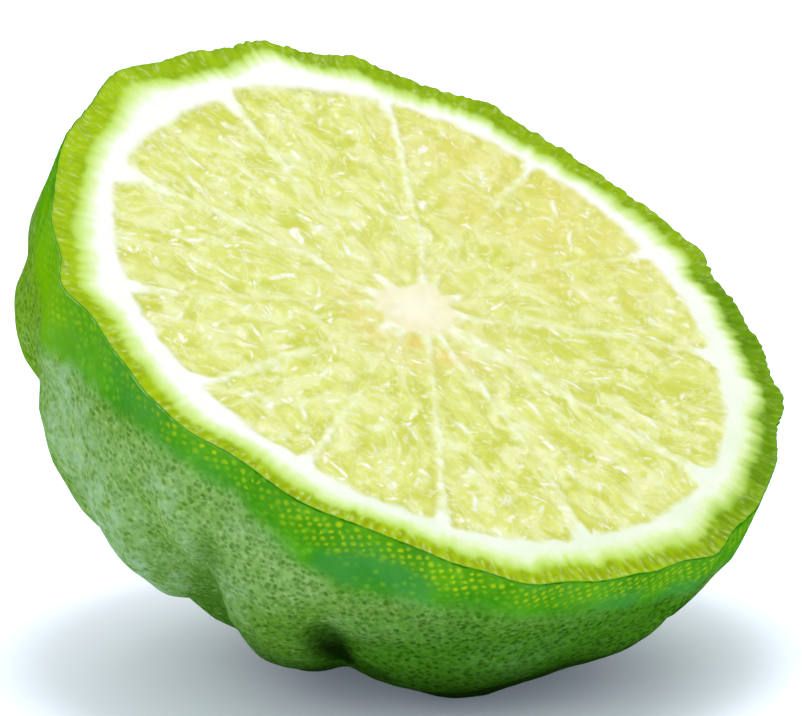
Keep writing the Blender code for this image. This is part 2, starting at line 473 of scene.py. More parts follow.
def skin_material():
    m = Nodes("citrus_skin")
    dot, band, wax_and_sheen, high, warm, dots, haze = (
        m.field(k) for k in ("dot", "band", "wax_and_sheen", "high", "warm", "dots", "haze")
    )
    lip, painted_dark_side, shade = m.field("lip"), m.field("painted_dark_side"), m.field("shade")
    specks = m.noise(2600, 3, 0.6)
    grain = m.noise(1000, 4, 0.6)
    mottle = m.noise(170, 4, 0.6)

    # Oil glands: soft dark pits, no two alike, with paler specks between them.
    bend = m.node("ShaderNodeTexNoise")
    m.link(m.place(), bend.inputs["Vector"])
    bend.inputs["Scale"].default_value = 1500
    bend.inputs["Detail"].default_value = 1
    push = m.vector("SUBTRACT", bend.outputs["Color"], (0.5, 0.5, 0.5))
    where = m.vector("ADD", m.place(), m.vector("SCALE", push, scale=0.0003))

    def glands(gap):
        made = m.node("ShaderNodeTexVoronoi", voronoi_dimensions="3D", feature="F1")
        m.link(where, made.inputs["Vector"])
        made.inputs["Scale"].default_value = 1 / gap
        parts = m.node("ShaderNodeSeparateColor")
        m.link(made.outputs["Color"], parts.inputs[0])
        return made.outputs["Distance"], parts.outputs[0]

    near, each = glands(0.00047)
    near = m.math("ADD", near, m.ramp(specks, 0.3, 0.7, -0.13, 0.13))
    pit = m.math("MULTIPLY", m.ramp(near, 0.70, 0.20), m.ramp(each, 0, 1, 0.5, 1.0))
    net = m.ramp(m.noise(1700, 3, 0.7), 0.52, 0.64)

    # The flank painted darker as shade gets less of the pale bloom, sheen and specks.
    bright_side = m.math("SUBTRACT", 1.0, m.math("MULTIPLY", painted_dark_side, 0.75))
    patchy = m.ramp(m.noise(900, 4, 0.65), 0.34, 0.62, 0.25, 1.15)
    wax_and_sheen = m.math("MULTIPLY", wax_and_sheen, m.math("MULTIPLY", bright_side, patchy))
    pits_show = m.math("SUBTRACT", 1.0, m.math("MULTIPLY", wax_and_sheen, 0.75))
    land = m.mix(m.ramp(mottle, 0.32, 0.68), seen(108, 153, 54), seen(144, 182, 104))
    land = m.mix(m.ramp(grain, 0.36, 0.64, 0.0, 0.4), land, seen(92, 146, 34))
    land = m.mix(warm, land, seen(110, 156, 0))
    # Painted shade: darker green in the creases.
    land = m.mix(m.math("MULTIPLY", high, 0.75), land, seen(62, 116, 10))
    # Painted shade: a deeper green on the flank that gets less light.
    land = m.mix(m.math("MULTIPLY", painted_dark_side, 0.95), land, seen(66, 128, 18))
    # Pale waxy bloom, partly a painted sheen.
    land = m.mix(m.math("MULTIPLY", wax_and_sheen, 0.9), land, seen(154, 190, 146))
    pale = m.math("MULTIPLY", m.math("MULTIPLY", net, 0.40), bright_side)
    pale = m.math("MULTIPLY", pale, m.math("SUBTRACT", 1.0, m.math("MULTIPLY", warm, 0.7)))
    land = m.mix(pale, land, seen(174, 206, 128))
    dark = m.mix(wax_and_sheen, seen(60, 112, 14), seen(112, 152, 88))
    dark = m.mix(warm, dark, seen(58, 112, 0))
    # Painted shade: the pits go near black on the flank that gets less light.
    dark = m.mix(m.math("MULTIPLY", painted_dark_side, 0.95), dark, seen(20, 66, 0))
    pitted = m.mix(m.math("MULTIPLY", m.math("MULTIPLY", pit, 0.82), pits_show), land, dark)

    sleek = m.mix(m.ramp(mottle, 0.3, 0.7), seen(50, 134, 16), seen(80, 160, 24))
    sleek = m.mix(m.ramp(grain, 0.36, 0.64, 0.0, 0.35), sleek, seen(44, 126, 10))
    sleek = m.mix(warm, sleek, seen(112, 172, 4))
    # Painted sheen on the smooth band: a bluish-green reflection, then the pale bloom and sheen.
    sleek = m.mix(m.math("MULTIPLY", haze, 0.45), sleek, seen(68, 144, 74))
    sleek = m.mix(m.math("MULTIPLY", wax_and_sheen, 0.7), sleek, seen(134, 180, 116))
    faint, some = glands(0.00070)
    faint = m.math("MULTIPLY", m.ramp(faint, 0.55, 0.10), m.ramp(some, 0.2, 1, 0.0, 0.5))
    sleek = m.mix(faint, sleek, seen(120, 184, 44))
    round_spot = m.math("MULTIPLY", m.ramp(dot, -0.12, 0.85), dots)
    sleek = m.mix(m.math("MULTIPLY", round_spot, 0.68), sleek, seen(184, 210, 22))
    color = m.mix(band, pitted, sleek)
    # The cut edge: a dark green line with a painted pale highlight.
    line = m.mix(m.field("painted_edge_highlight"), seen(30, 108, 0), seen(154, 214, 104))
    broken = m.ramp(m.noise(900, 3, 0.6), 0.40, 0.60, 0.15, 0.85)
    color = m.mix(m.math("MULTIPLY", lip, broken), color, line)
    # Painted shade: near black close to the floor, in the deepest crease and along the lower
    # outline.
    color = m.mix(m.math("MULTIPLY", shade, 0.92), color, seen(10, 24, 4))
    dent = m.math("MULTIPLY", pit, m.math("SUBTRACT", 1.0, m.math("MULTIPLY", band, 0.92)))
    dent = m.math("MULTIPLY", dent, -1.0)
    m.set(
        Base_Color=color,
        Roughness=m.ramp(grain, 0.2, 0.8, 0.36, 0.5),
        IOR=1.42,
        Specular_IOR_Level=0.0,
        Coat_Weight=0.0,
        Coat_Roughness=0.25,
        Subsurface_Weight=0.04,
        Subsurface_Radius=(0.6, 1.0, 0.25),
        Subsurface_Scale=0.001,
        Normal=m.bump(dent, 0.00005, 0.8, m.bump(grain, 0.00008, 0.6)),
    )
    return m.material


def rind_material():
    m = Nodes("cut_rind")
    green, gland, edge, fleck, olive, tint = (
        m.field(k) for k in ("green", "gland", "edge", "fleck", "olive", "tint")
    )
    rays = m.node("ShaderNodeCombineXYZ")
    for i, key in enumerate(("arc", "deep")):
        m.link(m.field(key), rays.inputs[i])
    fibre = m.noise(1.7, 3, 0.6, where=rays.outputs[0])
    fine = m.noise(1700, 4, 0.65)
    mottled = m.noise(620, 3, 0.6)
    white = m.mix(m.ramp(fine, 0.3, 0.7), seen(250, 253, 240), seen(255, 255, 251))
    white = m.mix(tint, white, seen(236, 248, 218))
    soft = m.mix(m.ramp(mottled, 0.3, 0.7), seen(224, 244, 168), seen(236, 250, 198))
    pale = m.mix(olive, seen(178, 212, 96), seen(200, 232, 112))
    bright = m.mix(olive, seen(110, 156, 0), seen(168, 202, 14))
    deep = m.mix(olive, seen(86, 134, 0), seen(146, 182, 4))
    bright = m.mix(m.ramp(mottled, 0.42, 0.62, 0.0, 0.75), bright, deep)
    light = m.mix(olive, seen(128, 170, 6), seen(186, 212, 44))
    bright = m.mix(m.ramp(fibre, 0.52, 0.70, 0.0, 0.55), bright, light)
    bright = m.mix(m.ramp(fine, 0.55, 0.75, 0.0, 0.22), bright, seen(206, 228, 96))
    cell = m.mix(olive, seen(78, 124, 0), seen(148, 166, 0))
    color = m.mix(m.ramp(green, 0.0, 0.38), white, soft)
    color = m.mix(m.ramp(green, 0.28, 0.74), color, pale)
    color = m.mix(m.ramp(green, 0.64, 1.0), color, bright)
    color = m.mix(gland, color, cell)
    color = m.mix(fleck, color, seen(226, 242, 168))
    color = m.mix(edge, color, seen(118, 168, 8))
    m.set(
        Base_Color=color,
        Roughness=m.ramp(green, 0.0, 0.8, 0.6, 0.4),
        IOR=1.4,
        Specular_IOR_Level=0.03,
        Normal=m.bump(
            fine, 0.00006, 0.6, m.bump(fibre, 0.00006, m.math("MULTIPLY", green, 0.5))
        ),
    )
    return m.material


def flesh_material():
    m = Nodes("cut_flesh")
    pulp, core, wall, fleck, rim, warm, out, pith, star = (
        m.field(k)
        for k in ("pulp", "core", "wall", "fleck", "rim", "warm", "out", "pith", "star")
    )
    flow = m.node("ShaderNodeCombineXYZ")
    for i, key in enumerate(("flow_x", "flow_y")):
        m.link(m.field(key), flow.inputs[i])
    bend = m.node("ShaderNodeTexNoise")
    m.link(m.place(), bend.inputs["Vector"])
    bend.inputs["Scale"].default_value = 210
    bend.inputs["Detail"].default_value = 1
    push = m.vector("SUBTRACT", bend.outputs["Color"], (0.5, 0.5, 0.5))
    flow = m.vector("ADD", flow.outputs[0], m.vector("SCALE", push, scale=2.4))

    def stretched(x, y, turn=0.0, shift=0.0):
        made = m.node("ShaderNodeMapping")
        m.link(flow, made.inputs["Vector"])
        made.inputs["Location"].default_value = (shift, shift * 0.7, 0)
        made.inputs["Rotation"].default_value = (0, 0, turn)
        made.inputs["Scale"].default_value = (x, y, 1)
        return made.outputs[0]

    def cells(vector, feature="F1"):
        made = m.node(
            "ShaderNodeTexVoronoi", voronoi_dimensions="2D", feature=feature
        )
        m.link(vector, made.inputs["Vector"])
        made.inputs["Scale"].default_value = 1.0
        return made.outputs

    window = m.ramp(
        m.noise(1.0, 2, 0.45, where=stretched(0.24, 0.40)), 0.44, 0.62, 0.0, 0.9
    )
    window = m.math("MAXIMUM", window, m.field("window"))
    cloud = m.ramp(
        m.noise(1.0, 2, 0.5, where=stretched(0.34, 0.50, shift=40)), 0.44, 0.66
    )
    strand = m.noise(1.0, 2, 0.5, where=stretched(0.32, 1.7, shift=80))
    where = m.ramp(m.noise(1.0, 2, 0.5, where=stretched(0.5, 0.9, shift=9)), 0.45, 0.6)
    sac = cells(stretched(0.27, 0.72, shift=3), "DISTANCE_TO_EDGE")["Distance"]
    skin_line = m.math("MULTIPLY", m.ramp(sac, 0.0, 0.085, 1.0, 0.0), where)
    foam = cells(stretched(1.1, 1.5, shift=21), "DISTANCE_TO_EDGE")["Distance"]
    foam_where = m.ramp(
        m.noise(1.0, 1, 0.5, where=stretched(0.45, 0.6, shift=57)), 0.52, 0.64
    )
    foam = m.math("MULTIPLY", m.ramp(foam, 0.0, 0.16, 0.8, 0.0), foam_where)

    def glints(gap, long, wide, many, spread, shift, bend):
        """Torn bits of sac wall and painted wet glints: one in some cells, each turned its own
        way.
        """
        where = stretched(1 / gap, 1 / gap, shift=shift)
        found = cells(where)
        off = m.node("ShaderNodeSeparateXYZ")
        m.link(m.vector("SUBTRACT", where, found["Position"]), off.inputs[0])
        parts = m.node("ShaderNodeSeparateColor")
        m.link(found["Color"], parts.inputs[0])
        turn = m.math("MULTIPLY", m.math("SUBTRACT", parts.outputs[0], 0.5), spread)
        c, s = m.math("COSINE", turn), m.math("SINE", turn)
        x, y = off.outputs[0], off.outputs[1]
        along = m.math("ADD", m.math("MULTIPLY", x, c), m.math("MULTIPLY", y, s))
        across = m.math("SUBTRACT", m.math("MULTIPLY", y, c), m.math("MULTIPLY", x, s))
        along = m.math("MULTIPLY", along, gap / long)
        across = m.math("MULTIPLY", across, gap / wide)
        square = m.math("MULTIPLY", along, along)
        across = m.math("ADD", across, m.math("MULTIPLY", square, bend))
        square = m.math("ADD", square, m.math("MULTIPLY", across, across))
        size = m.ramp(parts.outputs[2], 0.0, 1.0, 0.45, 1.1)
        shape = m.ramp(m.math("DIVIDE", square, size), 0.0, 1.5, 1.0, 0.0)
        return m.math("MULTIPLY", shape, m.ramp(parts.outputs[1], 1 - many, 1.15 - many))

    gather = m.ramp(
        m.noise(1.0, 1, 0.5, where=stretched(0.30, 0.42, shift=66)), 0.38, 0.60, 0.4, 1.1
    )
    big = glints(2.3, 0.78, 0.27, 0.42, 3.2, 5.0, 0.5)
    middling = glints(1.25, 0.42, 0.20, 0.44, 3.8, 33.0, 0.3)
    small = glints(0.70, 0.24, 0.18, 0.30, 4.8, 71.0, 0.0)
    flecks_and_glints = m.math("MAXIMUM", m.math("MULTIPLY", big, 1.0), m.math("MULTIPLY", middling, 0.8))
    flecks_and_glints = m.math("MAXIMUM", flecks_and_glints, m.math("MULTIPLY", small, 0.5))
    flecks_and_glints = m.math("MULTIPLY", flecks_and_glints, gather)
    flecks_and_glints = m.math("MULTIPLY", flecks_and_glints, m.ramp(m.noise(2200, 2, 0.6), 0.36, 0.56, 0.45, 1.0))
    flecks_and_glints = m.math("MAXIMUM", flecks_and_glints, fleck, clamp=True)

    ripe = m.field("ripe")
    flesh = m.mix(window, seen(222, 228, 112), seen(206, 212, 60))
    flesh = m.mix(m.math("MULTIPLY", rim, 0.7), flesh, seen(202, 207, 62))
    flesh = m.mix(m.math("MULTIPLY", cloud, 0.8), flesh, seen(238, 243, 176))
    flesh = m.mix(m.ramp(strand, 0.5, 0.8, 0.0, 0.12), flesh, seen(242, 247, 180))
    flesh = m.mix(m.math("MULTIPLY", skin_line, 0.30), flesh, seen(248, 251, 210))
    flesh = m.mix(m.math("MULTIPLY", foam, 0.45), flesh, seen(248, 251, 216))
    flesh = m.mix(m.math("MULTIPLY", out, 0.30), flesh, seen(234, 230, 150))
    flesh = m.mix(m.math("MULTIPLY", ripe, 0.55), flesh, seen(232, 222, 112))
    flesh = m.mix(warm, flesh, seen(234, 210, 106))
    crumbs = m.noise(1150, 2, 0.5)
    flesh = m.mix(m.ramp(crumbs, 0.52, 0.72, 0.0, 0.40), flesh, seen(246, 250, 204))
    flesh = m.mix(m.ramp(crumbs, 0.30, 0.46, 0.24, 0.0), flesh, seen(206, 212, 78))
    calm = m.field("calm")
    fine = m.noise(1500, 4, 0.6)
    skin = m.mix(m.ramp(crumbs, 0.4, 0.6), seen(236, 243, 184), seen(252, 254, 232))
    white = m.mix(m.ramp(fine, 0.3, 0.7), seen(250, 253, 240), seen(255, 255, 251))
    white = m.mix(m.field("tint"), white, seen(236, 248, 218))
    mottled = m.noise(620, 3, 0.6)
    soft = m.mix(m.ramp(mottled, 0.3, 0.7), seen(224, 244, 168), seen(236, 250, 198))
    green = m.field("green")
    white = m.mix(m.ramp(green, 0.0, 0.38), white, soft)
    white = m.mix(m.ramp(green, 0.28, 0.74), white, seen(198, 230, 112))
    skin = m.mix(pith, skin, white)
    middle = m.mix(star, seen(244, 237, 192), seen(250, 247, 218))
    middle = m.mix(m.ramp(m.noise(520, 3, 0.6), 0.42, 0.62, 0.0, 0.5), middle, seen(249, 246, 212))
    skin = m.mix(core, skin, middle)
    color = m.mix(wall, flesh, skin)
    flecks_and_glints = m.math("MULTIPLY", flecks_and_glints, m.math("MULTIPLY", pulp, calm))
    # Torn sac walls and painted wet glints, near white.
    color = m.mix(m.math("MULTIPLY", flecks_and_glints, 0.9), color, seen(255, 255, 246))

    height = m.math("MULTIPLY", window, -0.8)
    height = m.math("ADD", height, m.math("MULTIPLY", skin_line, 0.15))
    height = m.math("ADD", height, m.math("MULTIPLY", flecks_and_glints, 0.25))
    height = m.math("ADD", height, m.math("MULTIPLY", foam, 0.4))
    height = m.math("ADD", height, m.math("MULTIPLY", strand, 0.1))
    height = m.math("MULTIPLY", height, calm)
    normal = m.bump(height, 0.00006, 0.7, m.bump(fine, 0.00004, 0.5))
    m.set(
        Base_Color=color,
        Roughness=m.ramp(pulp, 0.0, 1.0, 0.55, 0.38),
        IOR=1.36,
        Specular_IOR_Level=0.4,
        Coat_Weight=m.math("MULTIPLY", pulp, 0.3),
        Coat_Roughness=0.16,
        Coat_IOR=1.34,
        Subsurface_Weight=m.math("MULTIPLY", pulp, 0.4),
        Subsurface_Radius=(1.0, 0.95, 0.5),
        Subsurface_Scale=0.0012,
        Normal=normal,
    )
    return m.material


def scar_material():
    m = Nodes("stem_scar")
    grain = m.noise(1800, 5, 0.65)
    color = m.mix(m.ramp(grain, 0.3, 0.7), seen(112, 98, 52), seen(178, 160, 104))
    color = m.mix(m.field("rim"), color, seen(92, 118, 44))
    m.set(
        Base_Color=color,
        Roughness=0.8,
        Normal=m.bump(grain, 0.0001, 0.8),
    )
    return m.material


# ----------------------------------------------------------------------- skin
FLESH_BORDER = 1045  # points on the seam
SEAM = 27.45  # mm, where the cut rind meets the flesh, inside the white pith
FILL_GAP = 0.38  # mm between points of the pitted skin
DOT_GAP, DOT_SIZE = 0.68, 0.34  # mm between the band's yellow dots, and a radius
DOT_ZONE = 3.6  # mm down from the rim
BEVEL = 0.09  # mm, the cut edge's own softness

# How far down from the rim the smooth band and its yellow dots reach, in mm,
# by azimuth.
BAND = [
    (0, 4.4),
    (60, 4.6),
    (120, 5.0),
    (134, 4.4),
    (146, 4.4),
    (153, 5.2),
    (160, 6.0),
    (170, 4.6),
    (177, 3.6),
    (188, 2.6),
    (200, 2.8),
    (207, 4.0),
    (214, 5.6),
    (224, 6.2),
    (230, 5.0),
    (236, 3.8),
    (243, 3.0),
    (251, 3.4),
    (262, 3.4),
    (284, 4.2),
    (320, 4.6),
    (360, 4.4),
]
DOTS = [
    (0, 1.8),
    (120, 2.4),
    (140, 3.2),
    (152, 4.2),
    (165, 2.2),
    (180, 1.4),
    (192, 1.1),
    (203, 1.7),
    (215, 2.3),
    (240, 2.0),
    (262, 1.9),
    (284, 2.1),
    (320, 1.8),
    (360, 1.8),
]


def tangents(u):
    side = np.cross(u, np.array([0.13, 0.27, 0.95]))
    side /= np.linalg.norm(side, axis=1)[:, None]
    return side, np.cross(u, side)


def gland_middles(rng, gap):
    count = int(2 * math.pi * 30**2 / (0.866 * gap**2))
    k = np.arange(count) + 0.5
    polar = np.degrees(np.arccos(1 - k / count))
    azimuth = np.degrees(k * math.pi * (3 - math.sqrt(5))) % 360
    u = direction(azimuth, polar)
    a, b = tangents(u)
    step = rng.uniform(-0.17, 0.17, (count, 2)) * gap / 30
    u = u + a * step[:, :1] + b * step[:, 1:]
    return u / np.linalg.norm(u, axis=1)[:, None]


def skin_points(rng):
    """Directions on the dome: the middle of each yellow dot near the rim, the
    points round each, and the points that fill the rest."""
    dots = gland_middles(rng, DOT_GAP)
    down = np.radians(90 - angles(dots)[1]) * 30
    dots = dots[(down > 0.30) & (down < DOT_ZONE)]
    a, b = tangents(dots)
    size = np.clip(DOT_SIZE * np.exp(rng.normal(0, 0.14, len(dots))), 0.22, 0.38)
    turn = rng.uniform(0, 2 * math.pi, len(dots))
    rings = []
    for i in range(7):
        way = turn + i * 2 * math.pi / 7
        reach = size / 30
        v = dots + a * (np.cos(way) * reach)[:, None] + b * (np.sin(way) * reach)[:, None]
        rings.append(v / np.linalg.norm(v, axis=1)[:, None])
    rings = np.concatenate(rings)
    rings = rings[angles(rings)[1] < 89.55]
    fill = gland_middles(rng, FILL_GAP)
    polar = angles(fill)[1]
    fill = fill[(polar > 0.6) & (polar < 89.4)]
    close = np.radians(90 - angles(fill)[1]) * 30 < DOT_ZONE + 0.6
    nearest = np.full(len(fill), -1.0)
    nearest[close] = (fill[close] @ dots.T).max(1)
    clear = np.arccos(np.clip(nearest, -1, 1)) * 30
    return dots, rings, fill[clear > 0.46]


RIM_COUNT = 1240


def make_skin():
    rng = np.random.default_rng(5)
    middles, rings, fill = skin_points(rng)
    rim_azimuth = np.arange(RIM_COUNT) * 360.0 / RIM_COUNT
    rim = direction(rim_azimuth, np.full(RIM_COUNT, 90.0))
    lip = direction(rim_azimuth + 180 / RIM_COUNT, np.full(RIM_COUNT, 89.7))
    u = np.concatenate([rim, lip, middles, rings, fill])
    kind = np.repeat(
        [0, 1, 2, 3, 4], [RIM_COUNT, RIM_COUNT, len(middles), len(rings), len(fill)]
    )
    r = radius(u)
    azimuth, polar = angles(u)

    # The smooth band under the rim, with a wandering lower edge.
    p = u * 30
    down = np.radians(90 - polar) * 30
    edge = np.interp(azimuth, *zip(*BAND))
    edge = edge + 0.6 * layered(p, 7.0, 3) + 0.5 * noise(p, 1.6, 5)
    band = 1 - smooth(down, edge - 1.1, edge + 1.3)
    dotted = np.interp(azimuth, *zip(*DOTS)) + 0.7 * noise(p, 2.4, 7)
    dots = 1 - smooth(down, dotted - 0.7, dotted + 0.9)
    dots = np.clip(dots + 0.25 * smooth(noise(p, 3.5, 8), 0.1, 0.6), 0, 1)
    dots *= 1 - 0.62 * smooth(np.cos(np.radians(azimuth - 155)), 0.75, 0.93)
    dots *= 0.78 + 0.4 * noise(p, 1.6, 6)

    knob = knob_field(u)
    # Painted shade: the hollows between the knobs and the crease lines are painted a darker green,
    # less so under the waxy film.
    high = smooth(knob, 0.1, -0.45)
    patch = layered(p, 9.0, 21)
    # Painted sheen: soft bluish-green patches of painted reflection on the smooth band.
    haze = (1 - dots) * smooth(layered(p, 5.0, 23), -0.25, 0.35)
    haze = haze + 0.8 * swelling(u, 196, 82, 5) + 0.2 * swelling(u, 228, 82, 7)
    haze = np.clip(haze, 0, 1) * (1 - 0.8 * smooth(np.cos(np.radians(azimuth - 145)), 0.7, 0.95))
    # Pale waxy bloom, partly a painted sheen: on the left flank's upper edge, as a painted
    # highlight along its raised lines, and in scattered patches elsewhere.
    flank = swelling(u, 166, 79, 7) + swelling(u, 171, 72, 8)
    ridge = lines_field(u, [(*k[:4], 1.5 * k[4], 1.0) for k in RIDGES], np.maximum)
    fold = -lines_field(u, [(*k[:4], 1.3 * k[4], -1.0) for k in CREASES], np.minimum)
    ridge = ridge + 0.5 * swelling(u, 205, 80, 5) + 0.4 * swelling(u, 183, 50, 8)
    film = swelling(u, 182, 65, 6) + 0.9 * swelling(u, 188, 55, 8)
    wax_and_sheen = 0.65 * flank + 0.9 * film + 0.60 * ridge + 0.5 * smooth(patch, 0.1, 0.6)
    wax_and_sheen = wax_and_sheen * (0.65 + 0.5 * noise(p, 1.1, 9) + 0.3 * noise(p, 0.45, 19))
    high = np.clip(high + 0.9 * fold, 0, 1)
    high = high * (1 - 0.8 * np.clip(film, 0, 1))
    wax_and_sheen = np.clip(wax_and_sheen, 0, 0.85) * (1 - 0.6 * band) * (1 - 0.8 * high)
    wax_and_sheen *= 1 - 0.75 * smooth(np.cos(np.radians(azimuth - 143)), 0.94, 0.985)
    warm = 1.2 * swelling(u, 143, 74, 13) + 0.55 * swelling(u, 157, 86, 12) + 0.12 * dots
    warm = warm + 0.35 * smooth(layered(p, 14.0, 41), 0.1, 0.7)
    warm = np.clip(warm * (1 + 0.6 * noise(p, 2.0, 43)), 0, 0.85)

    dot = np.zeros(len(u))
    dot[kind == 2] = np.clip(rng.normal(0.8, 0.3, len(middles)), 0.1, 1.15)
    # Painted shade: one flank, which gets less light, is painted a deeper green, and the skin is
    # painted near black close to the floor.
    painted_dark_side = 1.15 * swelling(u, 275, 50, 36) + 0.6 * swelling(u, 230, 40, 26)
    painted_dark_side = painted_dark_side + 0.6 * swelling(u, 272, 70, 17) + 0.5 * swelling(u, 245, 70, 17)
    painted_dark_side = np.clip(painted_dark_side * (1 + 0.4 * layered(p, 8.0, 45)), 0, 1)
    height = 1000 * placed(u * r[:, None])[:, 2]
    shade = 0.88 * smooth(height, 6.5, 1.0)
    # Painted shade: the deepest crease is painted near black as well.
    last = -lines_field(u, [(*k[:4], 1.25 * k[4], -1.0) for k in CREASES[2:]], np.minimum)
    shade = np.maximum(shade, np.clip(1.3 * last, 0, 1) * smooth(height, 11.5, 6.0))
    # Painted shade: the flank that leans over the floor ends in a painted dark line.
    bottom = [224, 236, 242, 250, 256, 262, 270, 273, 278, 288]
    turn = np.interp(azimuth, bottom, [56, 57, 54, 53, 56, 60, 61, 67, 71, 74])
    wide = np.interp(azimuth, bottom, [4, 5, 6, 6.5, 6, 5, 3.5, 2.5, 2.5, 2])
    lower = smooth(polar, turn + wide, turn - 0.3) * smooth(polar, turn - 30, turn - 12)
    lower *= smooth(azimuth, 215, 240) * smooth(azimuth, 300, 278)
    shade = np.clip(np.maximum(shade, 0.72 * lower), 0, 1)
    grain = 0.055 * noise(p, 1.5, 71) + 0.03 * noise(p, 0.7, 73)
    # The cut edge is a dark green line, with a painted pale highlight along it on the left.
    left = 1 - smooth(np.abs((azimuth - 168 + 180) % 360 - 180), 22, 38)
    painted_edge_highlight = np.clip(left + 0.4 * noise(p, 1.2, 79), 0, 1)
    # The rim isn't a clean line: cut pits nick it, most on the far side.
    nick = 0.03 + 0.13 * smooth((azimuth + 80) % 360, 20, 60) * (
        1 - smooth((azimuth + 80) % 360, 150, 180)
    )
    nick *= smooth(polar, 85.5, 89.3)
    nick *= 1.4 * noise(p, 0.42, 75) + 0.8 * noise(p, 1.1, 77)
    r = r + (1 - band) * grain + 0.02 * band * dot + nick
    points = u * r[:, None]
    points[:RIM_COUNT, 2] = -BEVEL

    flat = np.tan(np.radians(polar) / 2)[:, None] * np.stack(
        [np.cos(np.radians(azimuth)), np.sin(np.radians(azimuth))], -1
    )
    skin = triangulate(flat)

    # The cut edge's bevel, then a hidden lip and bowl that close the skin.
    rim_points = points[:RIM_COUNT]
    rim_r = np.hypot(rim_points[:, 0], rim_points[:, 1])
    way = rim_points[:, :2] / rim_r[:, None]
    top = flat3(*(way * (rim_r - BEVEL)[:, None]).T)
    under = flat3(*(way * (rim_r - BEVEL - 0.04)[:, None]).T, -0.5)
    n = len(points)
    bowl_points, bowl = inner_bowl(RIM_COUNT, n + RIM_COUNT, n + 2 * RIM_COUNT)
    everything = np.concatenate([points, top, under, bowl_points])
    row = np.arange(RIM_COUNT)
    faces = np.concatenate(
        [skin, strip(row, n + row), strip(n + row, n + RIM_COUNT + row), bowl]
    )
    hidden = len(everything) - n
    edge_line = np.zeros(n)
    edge_line[:RIM_COUNT] = 1

    def whole(values, rest=0.0):
        return np.concatenate([values, np.full(hidden, rest)])

    data = {
        "dot": whole(dot),
        "band": whole(band, 1.0),
        "wax_and_sheen": whole(wax_and_sheen),
        "high": whole(high),
        "warm": whole(warm),
        "dots": whole(dots),
        "haze": whole(haze),
        "painted_dark_side": whole(painted_dark_side),
        "shade": whole(shade),
        "lip": whole(edge_line, 1.0),
        "painted_edge_highlight": whole(painted_edge_highlight),
    }
    a, b, c = (everything[faces[:, i]] for i in range(3))
    middle = (a + b + c) / 3
    want = middle.copy()
    outside = len(skin) + 2 * RIM_COUNT
    want[outside:] = np.array([0, 0, 1.0]) - middle[outside:]
    faces = turned_to(faces, everything, want)
    return (
        build("skin", placed(everything), faces, data, [skin_material()]),
        rim_r,
    )


def strip(one, two):
    """Faces between two closed rows with the same number of points."""
    after, next_two = np.roll(one, -1), np.roll(two, -1)
    return np.concatenate(
        [np.stack([one, after, next_two], -1), np.stack([one, next_two, two], -1)]
    )


def turned_to(faces, points, want):
    a, b, c = (points[faces[:, i]] for i in range(3))
    flip = (np.cross(b - a, c - a) * want).sum(1) < 0
    faces = faces.copy()
    faces[flip] = faces[flip][:, ::-1]
    return faces


def inner_bowl(count, first, offset):
    """A plain hidden bowl, as rings that close at the bottom. `first` is the
    row of points it starts from and `offset` the next free place."""
    steps = 9
    points, faces = [], []
    previous = first + np.arange(count)
    used = 0
    for i in range(1, steps + 1):
        down = math.radians(90 * i / (steps + 1))
        n = max(24, int(count * math.cos(down) / 8))
        a = np.radians(np.arange(n) * 360.0 / n)
        ring_r = (SEAM - 1.2) * math.cos(down) + 1.2 * (1 - i / steps)
        z = -(SEAM - 2.4) * math.sin(down)
        points.append(flat3(ring_r * np.cos(a), ring_r * np.sin(a), z))
        current = offset + used + np.arange(n)
        faces += zipped(previous, current)
        previous = current
        used += n
    points.append(np.array([[0, 0, -(SEAM - 2.4)]]))
    last = offset + used
    for i in range(len(previous)):
        faces.append((previous[i], previous[(i + 1) % len(previous)], last))
    return np.concatenate(points), np.array(faces)


def zipped(outer, inner):
    """Triangles between two closed rows of points that start at one angle."""
    faces = []
    i = j = 0
    n, m = len(outer), len(inner)
    while i < n or j < m:
        if j >= m or (i < n and (i + 1) / n <= (j + 1) / m):
            faces.append((outer[i % n], outer[(i + 1) % n], inner[j % m]))
            i += 1
        else:
            faces.append((outer[i % n], inner[(j + 1) % m], inner[j % m]))
            j += 1
    return faces


